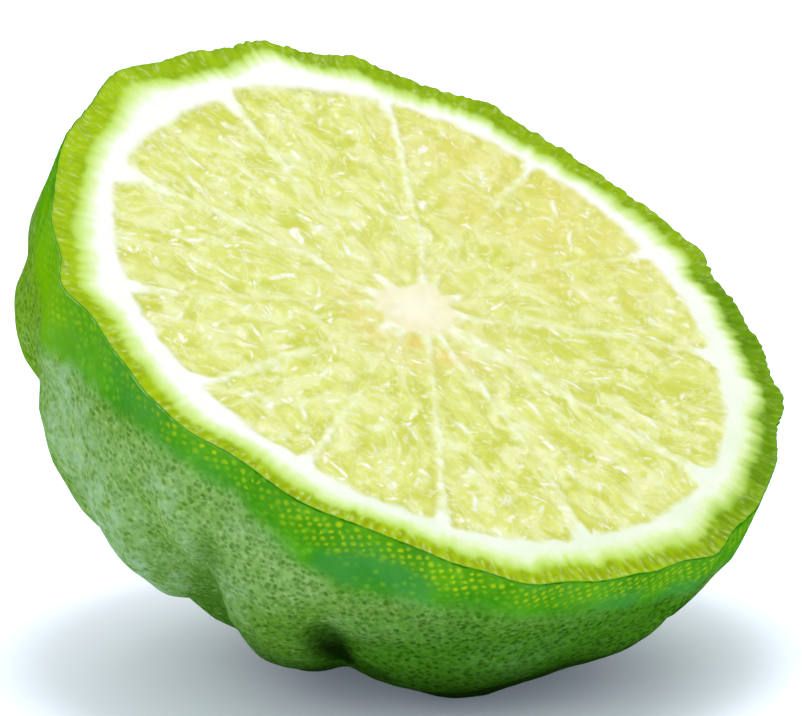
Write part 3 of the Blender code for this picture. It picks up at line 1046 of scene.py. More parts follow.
def make_rind(rim_r):
    """The cut rind: a ring from the skin in to the seam with the flesh."""
    rng = np.random.default_rng(11)
    rim_azimuth = np.arange(RIM_COUNT) * 360.0 / RIM_COUNT
    gap = 0.150
    inner_count = FLESH_BORDER
    wide = 3.4
    levels = int(wide / (gap * 0.88))
    rows = []
    for i in range(levels):
        share = (i + 0.5) / levels
        n = int(round(2 * math.pi * (SEAM + wide * share) / gap))
        a = (np.arange(n) + (i % 2) * 0.5) * 360.0 / n
        a = a + rng.uniform(-0.2, 0.2, n) * 360.0 / n
        s = share + rng.uniform(-0.2, 0.2, n) / levels
        rows.append(np.stack([a, s], -1))
    inner_azimuth = np.arange(inner_count) * 360.0 / inner_count
    inner = np.stack([inner_azimuth, np.zeros(inner_count)], -1)
    outer = np.stack([rim_azimuth, np.ones(RIM_COUNT)], -1)
    a, s = np.concatenate([outer, inner] + rows).T
    edge_r = np.interp(a % 360, np.append(rim_azimuth, 360), np.append(rim_r, rim_r[0]))
    edge_r = edge_r - BEVEL
    rr = SEAM + s * (edge_r - SEAM)
    x, y = rr * np.cos(np.radians(a)), rr * np.sin(np.radians(a))
    mapped = (SEAM + wide * s)[:, None] * np.stack(
        [np.cos(np.radians(a)), np.sin(np.radians(a))], -1
    )
    faces = triangulate(mapped)
    hole = ((faces >= RIM_COUNT) & (faces < RIM_COUNT + inner_count)).all(1)
    faces = faces[~hole]
    fields, z = rind_fields(x, y, a % 360, edge_r - rr, edge_r, rng)
    z[: RIM_COUNT + inner_count] = 0
    n = len(x)
    low_outer = flat3(x[:RIM_COUNT], y[:RIM_COUNT], -0.45) * (0.996, 0.996, 1)
    low_inner = flat3(
        x[RIM_COUNT : RIM_COUNT + inner_count],
        y[RIM_COUNT : RIM_COUNT + inner_count],
        -0.45,
    )
    points = np.concatenate([np.stack([x, y, z], -1), low_outer, low_inner])
    outer_row, inner_row = np.arange(RIM_COUNT), np.arange(inner_count)
    below_outer = n + outer_row
    below_inner = n + RIM_COUNT + inner_row
    groups = [
        (faces, (0, 0, 1.0)),
        (strip(outer_row, below_outer), "out"),
        (strip(RIM_COUNT + inner_row, below_inner), "in"),
        (np.array(zipped(below_outer, below_inner)), (0, 0, -1.0)),
    ]
    turned = []
    for part, want in groups:
        if isinstance(want, str):
            middle = points[part].mean(1) * (1, 1, 0)
            want = middle if want == "out" else -middle
        turned.append(turned_to(part, points, want))
    data = {
        key: np.concatenate([value, np.zeros(RIM_COUNT + inner_count)])
        for key, value in fields.items()
    }
    faces = np.concatenate(turned)
    return build("rind", placed(points), faces, data, [rind_material()])


# How deep the green goes under the skin: azimuth, then where it is still full
# and where it has faded into the white, in mm.
GREEN = [
    (5, 1.4, 3.8),
    (15, 1.7, 3.4),
    (25, 1.9, 3.9),
    (35, 2.3, 4.2),
    (45, 1.5, 3.4),
    (55, 1.9, 4.3),
    (65, 1.7, 3.2),
    (75, 0.9, 3.0),
    (85, 2.2, 3.8),
    (95, 2.1, 3.5),
    (105, 1.4, 3.9),
    (115, 1.9, 3.7),
    (125, 2.2, 4.0),
    (135, 2.1, 3.7),
    (145, 1.7, 3.9),
    (155, 1.4, 3.5),
    (165, 1.6, 3.6),
    (175, 1.2, 3.3),
    (185, 1.2, 3.4),
    (195, 1.3, 3.2),
    (205, 1.3, 3.5),
    (215, 1.3, 3.0),
    (225, 1.5, 3.1),
    (235, 1.3, 3.6),
    (245, 1.4, 3.5),
    (255, 1.7, 3.5),
    (265, 1.6, 3.9),
    (275, 1.4, 3.9),
    (285, 1.8, 3.8),
    (295, 1.4, 3.5),
    (305, 1.6, 3.5),
    (315, 1.1, 3.4),
    (325, 1.7, 3.4),
    (335, 1.9, 3.7),
    (345, 1.7, 3.2),
    (355, 1.9, 4.0),
]


def green_share(x, y, azimuth, under):
    """1 where the cut rind is green, falling evenly to 0 where it is white."""
    p = flat3(x, y)
    arc = np.radians(azimuth) * 30
    at, full, gone = (np.array(c) for c in zip(*GREEN))
    full = np.interp(azimuth, at, full, period=360) - 0.3
    gone = np.interp(azimuth, at, gone, period=360)
    ragged = noise(flat3(arc, under * 0.3), 0.5, 103)
    right = smooth(np.cos(np.radians(azimuth - 300)), -0.1, 0.7)
    wander = 0.12 * layered(p, 2.0, 101) + 0.16 * ragged
    wander += right * 0.40 * layered(flat3(arc, under * 0.5, 4.0), 1.3, 105)
    return 1 - np.clip((under - full - wander) / (gone - full), 0, 1)


def tint_share(x, y, azimuth):
    """Where the pith is a slightly greener white."""
    tint = 0.9 * smooth(np.cos(np.radians(azimuth - 275)), 0.0, 0.9)
    return np.clip(tint * (0.8 + 0.5 * layered(flat3(x, y), 3.0, 115)), 0, 1)


def rind_fields(x, y, azimuth, under, edge_r, rng):
    p = flat3(x, y)
    arc = np.radians(azimuth) * 30
    ragged = noise(flat3(arc, under * 0.3), 0.5, 103)
    green = green_share(x, y, azimuth, under)
    # The left of the ring is yellower and shows its oil glands; the right is
    # a plainer, deeper green, with a greener white inside it.
    olive = np.interp(
        azimuth,
        [0, 10, 60, 90, 110, 260, 280, 295, 308, 340, 350, 360],
        [0.5, 0.65, 0.6, 0.85, 1.0, 1.0, 0.7, 0.3, 0.0, 0.0, 0.12, 0.5],
    )
    olive = np.clip(olive + 0.22 * layered(p, 4.0, 113), 0, 1)
    tint = tint_share(x, y, azimuth)

    # Oil glands cut open: rounded, longer than wide, in rows under the skin.
    gland = np.zeros(len(x))
    dent = np.zeros(len(x))
    streak = np.zeros(len(x))
    for near_skin, spread, share in ((0.02, 0.2, 1.0), (1.0, 0.5, 0.3)):
        at = rng.uniform(0, 1)
        while at < 360:
            width = rng.uniform(0.26, 0.38)
            length = rng.uniform(0.46, 0.74)
            middle = length + near_skin + rng.uniform(0, spread)
            lean = rng.uniform(-0.3, 0.3)
            strength = rng.uniform(0.5, 1.0) if rng.random() < share else 0
            away = np.radians((azimuth - at + 180) % 360 - 180) * 30
            near = np.abs(away) < 1.4
            s = (away[near] + lean * (under[near] - middle)) / width
            t = (under[near] - middle) / length
            q = s * s + t * t
            gland[near] = np.maximum(gland[near], strength * np.exp(-(q**1.5)))
            dent[near] = np.maximum(dent[near], strength * np.exp(-q))
            step = rng.uniform(0.36, 0.56)
            if share == 1.0:
                s = (np.radians((azimuth - at + 180) % 360 - 180) * 30 - step) / 0.09
                near = np.abs(s) < 4
                reach = rng.uniform(0.3, 0.9)
                here = rng.uniform(0.1, 0.9) * np.exp(-(s[near] ** 2))
                here *= 1 - smooth(under[near], reach * 0.4, reach)
                streak[near] = np.maximum(streak[near], here)
            at += math.degrees(2 * step / 30)
    front = smooth(np.cos(np.radians(azimuth - 235)), 0.2, 0.8)
    gland *= smooth(green, 0.72, 1.0) * (0.35 + 0.65 * front)
    streak *= 0.35 + 0.65 * front

    # Pale flecks: torn gland walls close under the skin.
    fleck = np.zeros(len(x))
    for _ in range(520):
        at = rng.uniform(0, 360)
        middle = rng.uniform(0.1, 1.6)
        width, length = rng.uniform(0.05, 0.11), rng.uniform(0.12, 0.42)
        away = np.radians((azimuth - at + 180) % 360 - 180) * 30
        near = np.abs(away) < 0.8
        lean = rng.uniform(-0.4, 0.4)
        s = (away[near] + lean * (under[near] - middle)) / width
        t = (under[near] - middle) / length
        fleck[near] = np.maximum(
            fleck[near], rng.uniform(0.1, 0.6) * np.exp(-(s * s) - t * t)
        )
    fleck = np.maximum(fleck * (0.3 + 0.7 * olive), 0.75 * streak) * smooth(green, 0.3, 0.9)
    edge = np.exp(-((under / 0.14) ** 2)) * 0.5
    z = -0.06 * dent + 0.03 * ragged * green + 0.04 * fleck
    z += 0.035 * noise(p, 0.6, 109) + 0.05 * layered(p, 2.5, 111)
    z -= 0.05 * smooth(green, 0.2, 0.9)
    fade = smooth(under, 0.0, 0.35) * smooth(edge_r - under, SEAM, SEAM + 0.5)
    return (
        {
            "green": green,
            "gland": gland,
            "edge": edge,
            "fleck": fleck,
            "olive": olive,
            "tint": tint,
            "arc": arc,
            "deep": under * 0.45,
        },
        z * fade,
    )


# ---------------------------------------------------------------------- flesh
# Membranes between the segments, from the core outwards: (mm from the
# middle, azimuth) for each; how thick it is and how much the pith swells into
# the corner at its outer end, in mm; and how plainly it shows, by mm from the
# middle. The others dissolve into the pulp.
MEMBRANES = [
    (((3.5, 28), (26, 26)), 0.24, 0.55, ((5, 0.1), (15, 0.25), (20, 0.6), (24, 1))),
    (((3.5, 42), (8, 48), (12, 50.5), (17, 52.5), (26, 54)), 0.40, 0.7,
     ((5, 0.5), (15, 0.75), (20, 1))),
    (((3.5, 105), (9, 94), (15, 90), (26, 88)), 0.60, 1.0,
     ((5, 0.35), (12, 0.5), (18, 0.8), (22, 1))),
    (((3.5, 144), (9, 126), (18, 126), (26, 128)), 0.85, 1.6,
     ((5, 0.6), (10, 0.6), (18, 0.75), (22, 1))),
    (((3.5, 161), (13, 162), (26, 160)), 0.40, 0.8,
     ((5, 0.1), (12, 0.25), (16, 0.4), (21, 0.7), (23, 1))),
    (((3.5, 195), (13, 187), (26, 184.5)), 0.62, 0.7,
     ((5, 0.1), (11, 0.25), (15, 0.6), (22, 0.8), (24, 1))),
    (((3.5, 209), (26, 207.5)), 0.40, 0.7,
     ((5, 0.15), (12, 0.3), (16, 0.6), (22, 0.9))),
    (((3.5, 238), (10, 235), (16, 234), (26, 232.5)), 0.50, 0.8,
     ((4, 0.4), (10, 0.6), (16, 0.9), (20, 1))),
    (((3.5, 259), (13, 262.5), (20, 261), (26, 258.5)), 0.60, 1.3,
     ((4, 0.6), (10, 0.8), (14, 0.9), (20, 0.6), (24, 0.8))),
    (((3.5, 292), (9, 294), (18, 296), (26, 296)), 0.80, 1.3,
     ((4, 0.75), (10, 0.65), (18, 0.55), (24, 0.8))),
    (((3.5, 328), (9, 333), (18, 334.5), (26, 332)), 0.60, 1.2,
     ((4, 0.7), (10, 0.5), (20, 0.4), (25, 0.6))),
    (((3.5, 358), (12, 363), (20, 361), (26, 359)), 0.34, 0.7,
     ((4, 0.1), (12, 0.2), (18, 0.35), (24, 0.5), (26, 0.8))),
]
# How far each segment's pulp reaches, starting after the first membrane.
REACH = [26.4, 26.4, 25.4, 25.6, 25.9, 26.1, 26.3, 26.6, 26.1, 26.1, 26.1, 26.4]
CORE = [
    (23, 3.7),
    (50, 3.0),
    (86, 2.7),
    (116, 3.1),
    (156, 3.8),
    (180, 4.4),
    (203, 3.7),
    (227, 3.9),
    (253, 3.2),
    (282, 3.1),
    (322, 3.2),
    (357, 3.3),
]


# Clear, darker windows where a sac was cut cleanly: azimuth, mm from the
# middle, half length and half width in mm, lean in degrees from pointing at
# the core, and strength.
WINDOWS = [
    (81, 24.6, 1.2, 0.8, 80, 0.8),
    (112, 24.2, 3.0, 0.9, 88, 1.0),
    (122.5, 24.6, 0.9, 0.5, 70, 0.9),
    (97, 24.9, 1.3, 0.5, 88, 0.6),
    (118, 12.5, 2.6, 1.0, 10, 0.8),
    (143, 20.0, 1.6, 1.1, 20, 0.8),
    (150, 25.2, 2.6, 0.4, 88, 0.9),
    (156, 12.5, 2.4, 0.8, 0, 0.7),
    (171, 17.8, 1.6, 0.7, 30, 0.9),
    (170, 24.6, 1.0, 0.6, 60, 0.7),
    (178, 13.0, 1.9, 0.7, 10, 0.7),
    (190, 13.8, 1.8, 0.9, 10, 0.8),
    (195, 24.0, 1.2, 0.7, 40, 0.6),
    (219, 25.6, 1.5, 0.6, 80, 0.8),
    (225, 17.0, 2.4, 1.3, 10, 0.8),
    (219, 11.0, 2.0, 0.7, 0, 0.9),
    (241, 17.5, 1.3, 0.6, 0, 0.8),
    (252, 25.6, 2.4, 0.6, 86, 0.9),
    (255, 20.0, 2.0, 1.1, 0, 0.8),
    (276, 17.0, 2.2, 1.0, 10, 0.9),
    (280, 23.0, 0.9, 1.3, 40, 0.8),
    (284, 25.6, 1.8, 0.4, 88, 0.6),
    (272, 9.0, 2.4, 0.7, 0, 0.6),
    (309, 17.0, 2.4, 1.4, 0, 0.9),
    (312, 22.6, 1.0, 1.8, 20, 0.7),
    (318, 12.5, 2.6, 0.8, 0, 0.6),
    (343, 16.4, 1.6, 1.0, 20, 0.9),
    (349, 21.0, 1.4, 0.8, 10, 0.7),
    (341, 11.0, 2.2, 0.6, 0, 0.5),
    (12, 18.8, 1.5, 0.9, 20, 0.9),
    (17, 12.0, 2.4, 0.8, 0, 0.8),
    (6, 23.5, 0.9, 0.9, 0, 0.6),
    (36, 14.5, 2.2, 1.6, 0, 0.9),
    (44, 10.2, 1.6, 0.9, 0, 1.0),
    (47, 21.0, 1.3, 0.7, 30, 0.9),
    (38, 23.4, 1.1, 0.9, 50, 0.8),
    (73, 16.8, 2.0, 1.1, 20, 0.8),
    (66, 20.8, 1.0, 0.7, 0, 0.6),
    (72, 10.5, 2.2, 0.7, 0, 0.6),
]
# The brightest flecks, partly torn sac wall and partly painted glints: azimuth,
# mm from the middle, half length and half width in mm, lean in degrees from
# pointing at the core, and strength.
FLECKS_AND_GLINTS = [
    (141, 18.6, 0.95, 0.24, 28, 1.0),
    (137, 19.0, 0.5, 0.2, 10, 0.8),
    (152, 16.4, 1.1, 0.16, -35, 0.9),
    (119, 20.0, 0.9, 0.2, -30, 0.9),
    (112, 21.0, 1.0, 0.16, -12, 0.8),
    (97, 20.5, 0.6, 0.22, 20, 0.9),
    (104, 17.5, 0.9, 0.14, 15, 0.7),
    (116, 13.2, 0.8, 0.14, 10, 0.6),
    (168, 22.5, 0.7, 0.16, 40, 0.8),
    (173, 20.0, 0.9, 0.15, -38, 0.8),
    (179, 18.5, 1.0, 0.16, -30, 0.8),
    (166, 16.0, 0.7, 0.2, 30, 0.8),
    (170, 12.5, 0.6, 0.22, 60, 0.7),
    (191, 22.8, 0.8, 0.22, -15, 0.9),
    (188, 18.0, 0.7, 0.18, 20, 0.7),
    (201, 20.3, 0.9, 0.2, 40, 0.9),
    (204, 17.0, 0.7, 0.16, -40, 0.7),
    (197, 14.0, 0.9, 0.13, 30, 0.7),
    (210, 24.2, 0.6, 0.2, 25, 0.9),
    (218, 20.0, 0.6, 0.16, 30, 0.6),
    (226, 16.0, 1.1, 0.14, 40, 0.7),
    (222, 22.0, 0.5, 0.2, -20, 0.7),
    (240, 22.6, 0.8, 0.18, -10, 1.0),
    (247, 22.0, 0.8, 0.16, -35, 0.8),
    (243, 14.0, 0.9, 0.2, 35, 0.9),
    (254, 23.0, 0.6, 0.16, -45, 0.7),
    (263, 14.0, 0.7, 0.25, 0, 0.9),
    (262, 10.5, 0.8, 0.26, 0, 0.9),
    (272, 21.5, 0.8, 0.16, -40, 0.8),
    (268, 19.6, 0.6, 0.2, -10, 0.8),
    (281, 19.4, 0.7, 0.24, 20, 0.9),
    (277, 12.6, 1.0, 0.24, -8, 0.9),
    (282, 16.0, 0.8, 0.13, 15, 0.7),
    (304, 19.3, 1.3, 0.12, -8, 0.8),
    (313, 17.6, 0.9, 0.14, -6, 0.8),
    (303, 13.3, 1.2, 0.18, 0, 0.8),
    (311, 24.0, 0.5, 0.18, 30, 0.7),
    (322, 15.5, 0.8, 0.12, 10, 0.6),
    (328, 13.4, 1.2, 0.12, 6, 0.7),
    (344, 24.0, 0.6, 0.26, 0, 1.0),
    (348, 19.0, 0.7, 0.2, 30, 0.8),
    (351, 15.3, 0.7, 0.18, 50, 0.7),
    (356, 23.0, 0.9, 0.16, -40, 0.7),
    (9, 20.5, 1.0, 0.17, 35, 0.9),
    (17, 22.5, 1.1, 0.2, 42, 1.0),
    (22, 19.5, 0.5, 0.2, 0, 0.7),
    (33, 21.0, 0.7, 0.2, 20, 0.8),
    (36, 20.0, 0.8, 0.16, 50, 0.7),
    (47, 13.6, 0.7, 0.34, -10, 1.0),
    (43, 24.4, 0.5, 0.2, 50, 0.7),
    (60, 14.8, 0.6, 0.24, 10, 0.9),
    (64, 11.5, 0.7, 0.24, 20, 0.8),
    (67, 18.0, 0.6, 0.2, 30, 0.8),
    (71, 22.0, 0.7, 0.18, -30, 0.7),
    (78, 23.6, 0.7, 0.16, 35, 0.7),
    (84, 18.0, 0.6, 0.24, 10, 1.0),
    (83, 9.5, 0.7, 0.3, 0, 0.8),
    (76, 14.5, 0.8, 0.14, 25, 0.6),
]


def soft_least(a, b, k):
    h = np.clip(0.5 + 0.5 * (b - a) / k, 0, 1)
    return b + (a - b) * h - k * h * (1 - h)


def flesh_points(rng):
    gap = 0.1735
    rows = int(SEAM / (gap * 0.866)) + 1
    found = []
    for i in range(-rows, rows + 1):
        y = i * gap * 0.866
        n = int(SEAM / gap) + 1
        x = (np.arange(-n, n + 1) + 0.5 * (i % 2)) * gap
        found.append(np.stack([x, np.full(len(x), y)], -1))
    xy = np.concatenate(found) + rng.uniform(-0.12, 0.12, (sum(map(len, found)), 2)) * gap
    return xy[np.hypot(xy[:, 0], xy[:, 1]) < SEAM - 0.6 * gap]


def make_flesh(rim_r):
    rng = np.random.default_rng(17)
    inside = flesh_points(rng)
    count = FLESH_BORDER
    a = np.arange(count) * 2 * math.pi / count
    border = SEAM * np.stack([np.cos(a), np.sin(a)], -1)
    xy = np.concatenate([border, inside])
    faces = triangulate(xy)
    x, y = xy.T
    r = np.hypot(x, y)
    azimuth = np.degrees(np.arctan2(y, x)) % 360
    p = flat3(x, y)

    # Membranes: signed distance sideways to each, after a slight wander.
    sides = []
    for i, (line, thick, corner, shown) in enumerate(MEMBRANES):
        rad, ang = zip(*line)
        middle = np.interp(r, rad, ang)
        away = (azimuth - middle + 180) % 360 - 180
        side = r * np.sin(np.radians(np.clip(away, -90, 90)))
        side = np.where(np.abs(away) > 90, np.sign(away) * r, side)
        side = side + 0.20 * noise(flat3(r, r * 0, 7.3 * i), 2.6, 201)
        side = side + 0.10 * noise(flat3(x, y, 5.0), 0.9, 202)
        sides.append(side)
    sides = np.stack(sides)
    after = np.where(sides > 0, sides, 1e3)
    low = after.argmin(0)  # the membrane at the lower azimuth
    high = (low + 1) % len(MEMBRANES)
    index = np.arange(len(x))
    thick = np.array([m[1] for m in MEMBRANES])
    corner = np.array([m[2] for m in MEMBRANES])
    shows = np.stack([np.interp(r, *zip(*m[3])) for m in MEMBRANES])
    reach = np.array(REACH)[low] + 0.20 * noise(p, 1.5, 203) + 0.12 * noise(p, 0.7, 205)
    core_r = np.interp(azimuth, *zip(*CORE), period=360)

    def clear(which):
        swell = corner[which] * np.exp(-(reach - r) / 1.0)
        swell = np.minimum(swell, 2.4)
        root = 0.30 * np.exp(-(r - core_r) / 1.6)
        wander = 1 + 0.45 * noise(flat3(r, which * 9.1), 2.2, 207)
        return np.abs(sides[which, index]) - 0.5 * thick[which] * wander - swell - root

    to_low, to_high = clear(low), clear(high)
    between = soft_least(to_low, to_high, 0.5)
    outward = reach - r
    inward = r - core_r - 0.25 * noise(p, 1.0, 209)
    # The parts that are plainly white: the pith, the corners and the core.
    # Between the membranes, the core's edge is scooped out.
    solid = soft_least(soft_least(between, outward, 1.4), inward, 0.8)
    scooped = soft_least(between + 0.1, inward + 0.55, 0.7)
    free = solid
    # Membranes have soft edges and come and go.
    shown = np.where(to_low < to_high, shows[low, index], shows[high, index])
    patchy = shown * (0.92 + 0.35 * noise(p, 1.6, 241))
    patchy = np.clip(patchy + 0.25 * noise(p, 0.6, 251) * (1 - shown), 0, 1)
    torn = between + 0.16 * noise(p, 0.8, 247) + 0.10 * noise(p, 0.42, 249)
    film = 1 - smooth(torn, -0.30, 0.34)
    outer_wall = 1 - smooth(outward, -0.25, 0.65)
    inner_wall = (1 - smooth(scooped, -0.22, 0.30)) * (1 - smooth(r - core_r, 0.9, 2.2))
    inner_wall = np.maximum(inner_wall, 1 - smooth(r, 2.0, 2.6))
    haze = np.exp(-(((azimuth - 291) / 11) ** 2)) * smooth(r, 2.5, 3.5)
    haze *= 1 - smooth(r + 1.2 * noise(p, 1.5, 261), 5.5, 9.5)
    inner_wall = np.maximum(inner_wall, 0.9 * haze)
    corner_wall = film * smooth(r - reach, -3.2, -0.8)
    wall = np.maximum.reduce([film * patchy, outer_wall, inner_wall, corner_wall])
    pulp = 1 - wall

    # Juice sacs: long cells that point at the core, packed in each segment.
    middle_angle = np.zeros(len(MEMBRANES))
    outer = [m[0][-1][1] for m in MEMBRANES]
    for i in range(len(MEMBRANES)):
        b = outer[(i + 1) % len(MEMBRANES)]
        b += 360 if b < outer[i] else 0
        middle_angle[i] = (outer[i] + b) / 2
    turn = np.radians(middle_angle[low])
    along = x * np.cos(turn) + y * np.sin(turn)
    across = -x * np.sin(turn) + y * np.cos(turn)
    wobble = flat3(x, y, 3.0)
    along_w = along + 1.1 * noise(wobble, 4.0, 211) + 0.12 * noise(wobble, 1.2, 213)
    across_w = across + 0.8 * noise(wobble, 3.0, 215) + 0.08 * noise(wobble, 0.9, 217)
    lengthwise = np.interp(along_w, [0, 8, 18, 27, 30], [0, 1.4, 3.6, 7.2, 8.6])

    first = np.full(len(x), 9.0)
    second = np.full(len(x), 9.0)
    for i in range(len(MEMBRANES)):
        mask = low == i
        seeds = []
        for j in range(0, 9):
            for k in range(-7, 8):
                seeds.append(
                    (
                        j + 0.5 + rng.uniform(-0.45, 0.45),
                        (k + (j % 2) * 0.5 + rng.uniform(-0.42, 0.42)) * 1.6,
                    )
                )
        seeds = np.array(seeds)
        d = np.hypot(
            (lengthwise[mask][:, None] - seeds[:, 0]) * 1.1,
            (across_w[mask][:, None] - seeds[:, 1]) / 1.6,
        )
        two = np.partition(d, 1, axis=1)[:, :2]
        first[mask], second[mask] = two[:, 0], two[:, 1]
    border_gap = (second - first) * 0.8  # mm, about
    bulge = smooth(border_gap, 0.0, 0.55)
    rough = 0.03 * noise(p, 0.8, 223) + 0.015 * noise(p, 0.45, 225)
    z_pulp = -0.17 + 0.09 * bulge + rough
    z_pulp += 0.15 * layered(p, 5.0, 227)
    z_pulp += 0.10 * noise(flat3(along_w * 0.4, across_w, 7.0), 1.1, 226)

    # Clear windows: sacs that were cut open cleanly and look darker.
    window = np.zeros(len(x))
    for f_a, f_r, long, wide_, lean, strength in WINDOWS:
        cx, cy = f_r * math.cos(math.radians(f_a)), f_r * math.sin(math.radians(f_a))
        way = math.radians(f_a + lean)
        dx = x - cx + 0.35 * noise(p, 1.3, 253)
        dy = y - cy + 0.35 * noise(p, 1.3, 255)
        s = (dx * math.cos(way) + dy * math.sin(way)) / long
        t = (-dx * math.sin(way) + dy * math.cos(way)) / wide_
        window = np.maximum(window, strength * (1 - smooth(s**2 + t**2, 0.45, 1.25)))

    # Flecks: the plainest torn bits of sac wall, long and bright, and painted wet glints.
    fleck = np.zeros(len(x))
    for f_a, f_r, long, wide_, lean, strength in FLECKS_AND_GLINTS:
        cx, cy = f_r * math.cos(math.radians(f_a)), f_r * math.sin(math.radians(f_a))
        way = math.radians(f_a + lean)
        near = (np.abs(x - cx) < 2.0 * long) & (np.abs(y - cy) < 2.0 * long)
        dx, dy = x[near] - cx, y[near] - cy
        s = dx * math.cos(way) + dy * math.sin(way)
        t = -dx * math.sin(way) + dy * math.cos(way) + 0.16 / max(long, 0.4) * s * s
        taper = wide_ * np.sqrt(np.clip(1 - (s / (long * 1.15)) ** 2, 0.04, 1))
        shape = strength * np.exp(-((s / long) ** 4) - (t / taper) ** 2)
        fleck[near] = np.maximum(fleck[near], shape)
    z_pulp += 0.05 * fleck

    wall_z = -0.03 + 0.04 * noise(p, 0.7, 229) + 0.05 * layered(p, 3.0, 231)
    points_out = np.cos(np.radians(azimuth * 12 + 40)) * smooth(r, 0.8, 2.5)
    star_r = core_r * (0.62 + 0.12 * points_out) + 0.35 * noise(p, 0.9, 257)
    core = 1 - smooth(r - core_r, -0.4, 0.6)
    star = 1 - smooth(r, star_r - 1.4, star_r + 1.0)
    wall_z = wall_z - 0.12 * core * (1 - (r / 4.5) ** 2) + 0.10 * core * noise(p, 0.8, 243)
    z = pulp * z_pulp + (1 - pulp) * wall_z
    z *= smooth(SEAM - r, 0.0, 0.5)
    pith = np.maximum(smooth(r - reach, -2.8, -0.6), 0)

    calm = smooth(np.abs(sides).min(0), 0.18, 0.55) * smooth(r, 4.5, 6.0)
    rim_dark = np.exp(-(((solid - 0.25) / 0.35) ** 2))
    rim_dark *= 0.35 + 0.65 * smooth(r, 14, 24)
    rim_dark *= smooth(noise(p, 1.8, 245) + 0.3, -0.5, 0.6)
    out = 1 - smooth(r, 5.0, 12.5)
    warm = np.exp(-(((r - 5.2) / 2.4) ** 2)) * (
        0.75 * np.exp(-((((azimuth - 225 + 180) % 360 - 180) / 62) ** 2)) + 0.12
    )
    warm *= 0.25 + 0.75 * smooth(noise(p, 1.1, 237), -0.5, 0.6)
    ripe = np.exp(-((((azimuth - 22 + 180) % 360 - 180) / 38) ** 2)) * smooth(r, 9, 15)
    ripe = np.clip(ripe * (0.9 + 0.5 * noise(p, 2.5, 263)), 0, 1)
    rim_azimuth = np.arange(RIM_COUNT) * 360.0 / RIM_COUNT
    edge_r = np.interp(azimuth, rim_azimuth, rim_r, period=360) - BEVEL
    fields = {
        "green": green_share(x, y, azimuth, edge_r - r),
        "tint": tint_share(x, y, azimuth),
        "ripe": ripe,
        "pulp": pulp,
        "calm": calm,
        "wall": wall,
        "core": core,
        "star": star,
        "fleck": fleck,
        "window": window,
        "rim": rim_dark,
        "out": out,
        "warm": np.clip(warm, 0, 1),
        "pith": pith,
        "flow_x": along_w + low * 37.3,
        "flow_y": across_w + low * 19.1,
    }
    # A plain hidden underside closes the flesh into one solid.
    n = len(xy)
    depth = 1.6
    low_ring = np.stack(
        [border[:, 0] * 0.985, border[:, 1] * 0.985, np.full(count, -depth)], -1
    )
    points = np.concatenate(
        [np.stack([x, y, z], -1), low_ring, np.array([[0, 0, -depth - 1.0]])]
    )
    j = np.arange(count)
    k = (j + 1) % count
    side = np.concatenate(
        [
            np.stack([j, n + j, n + k], -1),
            np.stack([j, n + k, k], -1),
            np.stack([n + j, np.full(count, n + count), n + k], -1),
        ]
    )
    a, b, c = (points[faces[:, i]] for i in range(3))
    flip = np.cross(b - a, c - a)[:, 2] < 0
    faces[flip] = faces[flip][:, ::-1]
    faces = np.concatenate([faces, side])
    fields = {
        key: np.concatenate([value, np.zeros(count + 1)])
        for key, value in fields.items()
    }
    return build("flesh", placed(points), faces, fields, [flesh_material()])


# ------------------------------------------------------------------ stem scar
def make_scar():
    """The corky scar where the stem broke off, in the dimple at the bottom."""
    rng = np.random.default_rng(29)
    rings, around = 16, 96
    ground = float(radius(direction(np.zeros(1), np.full(1, 0.5)))[0])
    a = np.arange(around) * 2 * math.pi / around
    points, rim = [[0.0, 0.0, -(ground + 0.25)]], [0.0]
    for i in range(1, rings + 1):
        s = i / rings
        star = 1 + 0.10 * np.cos(5 * a) * s
        r = 2.5 * s * star
        dome = 0.55 * (1 - s**3) + 0.28 * np.exp(-(((s - 0.72) / 0.14) ** 2))
        dome = dome - 0.25 * np.exp(-((s / 0.3) ** 2)) + 0.05 * np.cos(17 * a + 3 * s)
        u = direction(np.degrees(a), np.degrees(r / 30))
        g = radius(u)
        for k in range(around):
            h = g[k] + dome[k] - 0.12 + 0.04 * rng.uniform(-1, 1)
            if i == rings:
                h = g[k] - 0.25
            points.append([r[k] * math.cos(a[k]), r[k] * math.sin(a[k]), -h * math.cos(r[k] / 30)])
            rim.append(s**4)
    points.append([0.0, 0.0, -(ground - 0.9)])
    rim.append(0.0)
    faces = []
    for k in range(around):
        n = (k + 1) % around
        faces.append((0, 1 + k, 1 + n))
        for i in range(rings - 1):
            p, q = 1 + i * around, 1 + (i + 1) * around
            faces.append((p + k, q + k, q + n))
            faces.append((p + k, q + n, p + n))
        last = 1 + (rings - 1) * around
        faces.append((last + k, len(points) - 1, last + n))
    points, faces = np.array(points), np.array(faces)
    a_, b_, c_ = (points[faces[:, i]] for i in range(3))
    normal = np.cross(b_ - a_, c_ - a_)
    middle = (a_ + b_ + c_) / 3
    want = middle - points[-1]
    flip = (normal * want).sum(1) < 0
    faces[flip] = faces[flip][:, ::-1]
    return build("stem_scar", placed(points), faces, {"rim": rim}, [scar_material()])


skin, rim_radii = make_skin()
rind = make_rind(rim_radii)
flesh = make_flesh(rim_radii)
scar = make_scar()
for piece, slot in (
    (skin, "rind"),
    (rind, "pith"),
    (flesh, "pulp"),
    (scar, "stem_scar"),
):
    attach(piece, "root")
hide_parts("bergamot_half")


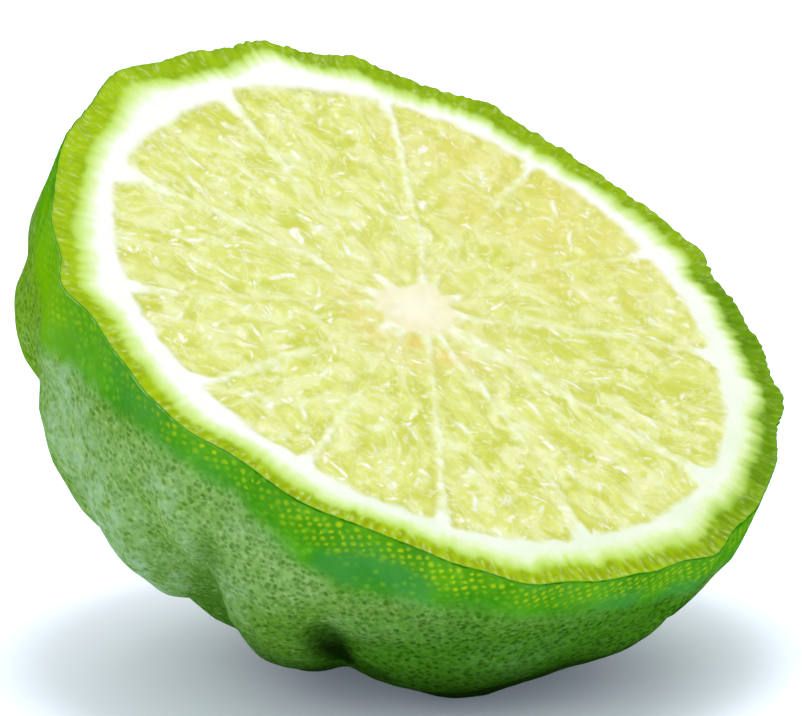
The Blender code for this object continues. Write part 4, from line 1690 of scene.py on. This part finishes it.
# ---------------------------------------------------------- floor, light, view
def area_light(name, place, size, power, color=(1, 1, 1), aim=(0, 0, 0.02)):
    data = bpy.data.lights.new(name, "AREA")
    data.shape = "RECTANGLE"
    data.size, data.size_y = size
    data.energy = power
    data.color = color
    lamp = bpy.data.objects.new(name, data)
    bpy.context.scene.collection.objects.link(lamp)
    lamp.location = place
    away = Vector(place) - Vector(aim)
    lamp.rotation_euler = away.to_track_quat("Z", "Y").to_euler()
    return lamp


def make_floor():
    mesh = bpy.data.meshes.new("floor")
    s = 6.0
    mesh.from_pydata(
        [(-s, -s, 0), (s, -s, 0), (s, s, 0), (-s, s, 0)], [], [(0, 1, 2, 3)]
    )
    floor = bpy.data.objects.new("floor", mesh)
    bpy.context.scene.collection.objects.link(floor)
    m = Nodes("pale_floor")
    m.set(Base_Color=(0.87, 0.88, 1.0), Roughness=0.6)
    m.shader.inputs["Specular IOR Level"].default_value = 0.2
    # Painted light: the floor glows, more with distance from the fruit, which lifts the shadow and
    # whitens the far floor.
    away = m.node("ShaderNodeVectorMath", operation="LENGTH")
    m.link(m.place(), away.inputs[0])
    glow = m.ramp(away.outputs["Value"], 0.026, 0.036, 0.125, 0.54)
    m.set(Emission_Color=(0.70, 0.82, 1.0), Emission_Strength=glow)
    mesh.materials.append(m.material)
    floor.location.z = -0.0001


def make_world():
    world = bpy.data.worlds.new("studio")
    world.use_nodes = True
    back = world.node_tree.nodes["Background"]
    back.inputs["Color"].default_value = (0.97, 0.985, 1.0, 1)
    back.inputs["Strength"].default_value = 0.82
    bpy.context.scene.world = world


def make_camera():
    """A long lens 0.55 m away, 14 degrees above level, from the front left."""
    azimuth, elevation, far = math.radians(-46.3), math.radians(14.0), 0.55
    lens_px, middle_px = 7092.0, (419.3, 305.5)
    right = Vector((math.cos(azimuth), math.sin(azimuth), 0))
    back = Vector(
        (
            math.sin(azimuth) * math.cos(elevation),
            -math.cos(azimuth) * math.cos(elevation),
            math.sin(elevation),
        )
    )
    up = back.cross(right)
    x = (middle_px[0] - 401) / lens_px * far
    y = -(middle_px[1] - 358) / lens_px * far
    data = bpy.data.cameras.new("camera")
    data.sensor_fit = "HORIZONTAL"
    data.sensor_width = 36
    data.lens = lens_px * 36 / 802
    data.clip_start, data.clip_end = 0.01, 50
    camera = bpy.data.objects.new("camera", data)
    bpy.context.scene.collection.objects.link(camera)
    place = Vector(CENTRE) - (x * right + y * up - far * back)
    turned = Matrix((right, up, back)).transposed().to_4x4()
    camera.matrix_world = Matrix.Translation(place) @ turned
    bpy.context.scene.camera = camera


make_floor()
make_world()
make_camera()
area_light("overhead", (0.22, 0.08, 0.95), (0.8, 0.8), 3.4)
area_light("left_window", (-0.8, -0.25, 0.5), (0.5, 0.5), 1.4)
bpy.context.scene.view_settings.view_transform = "Standard"
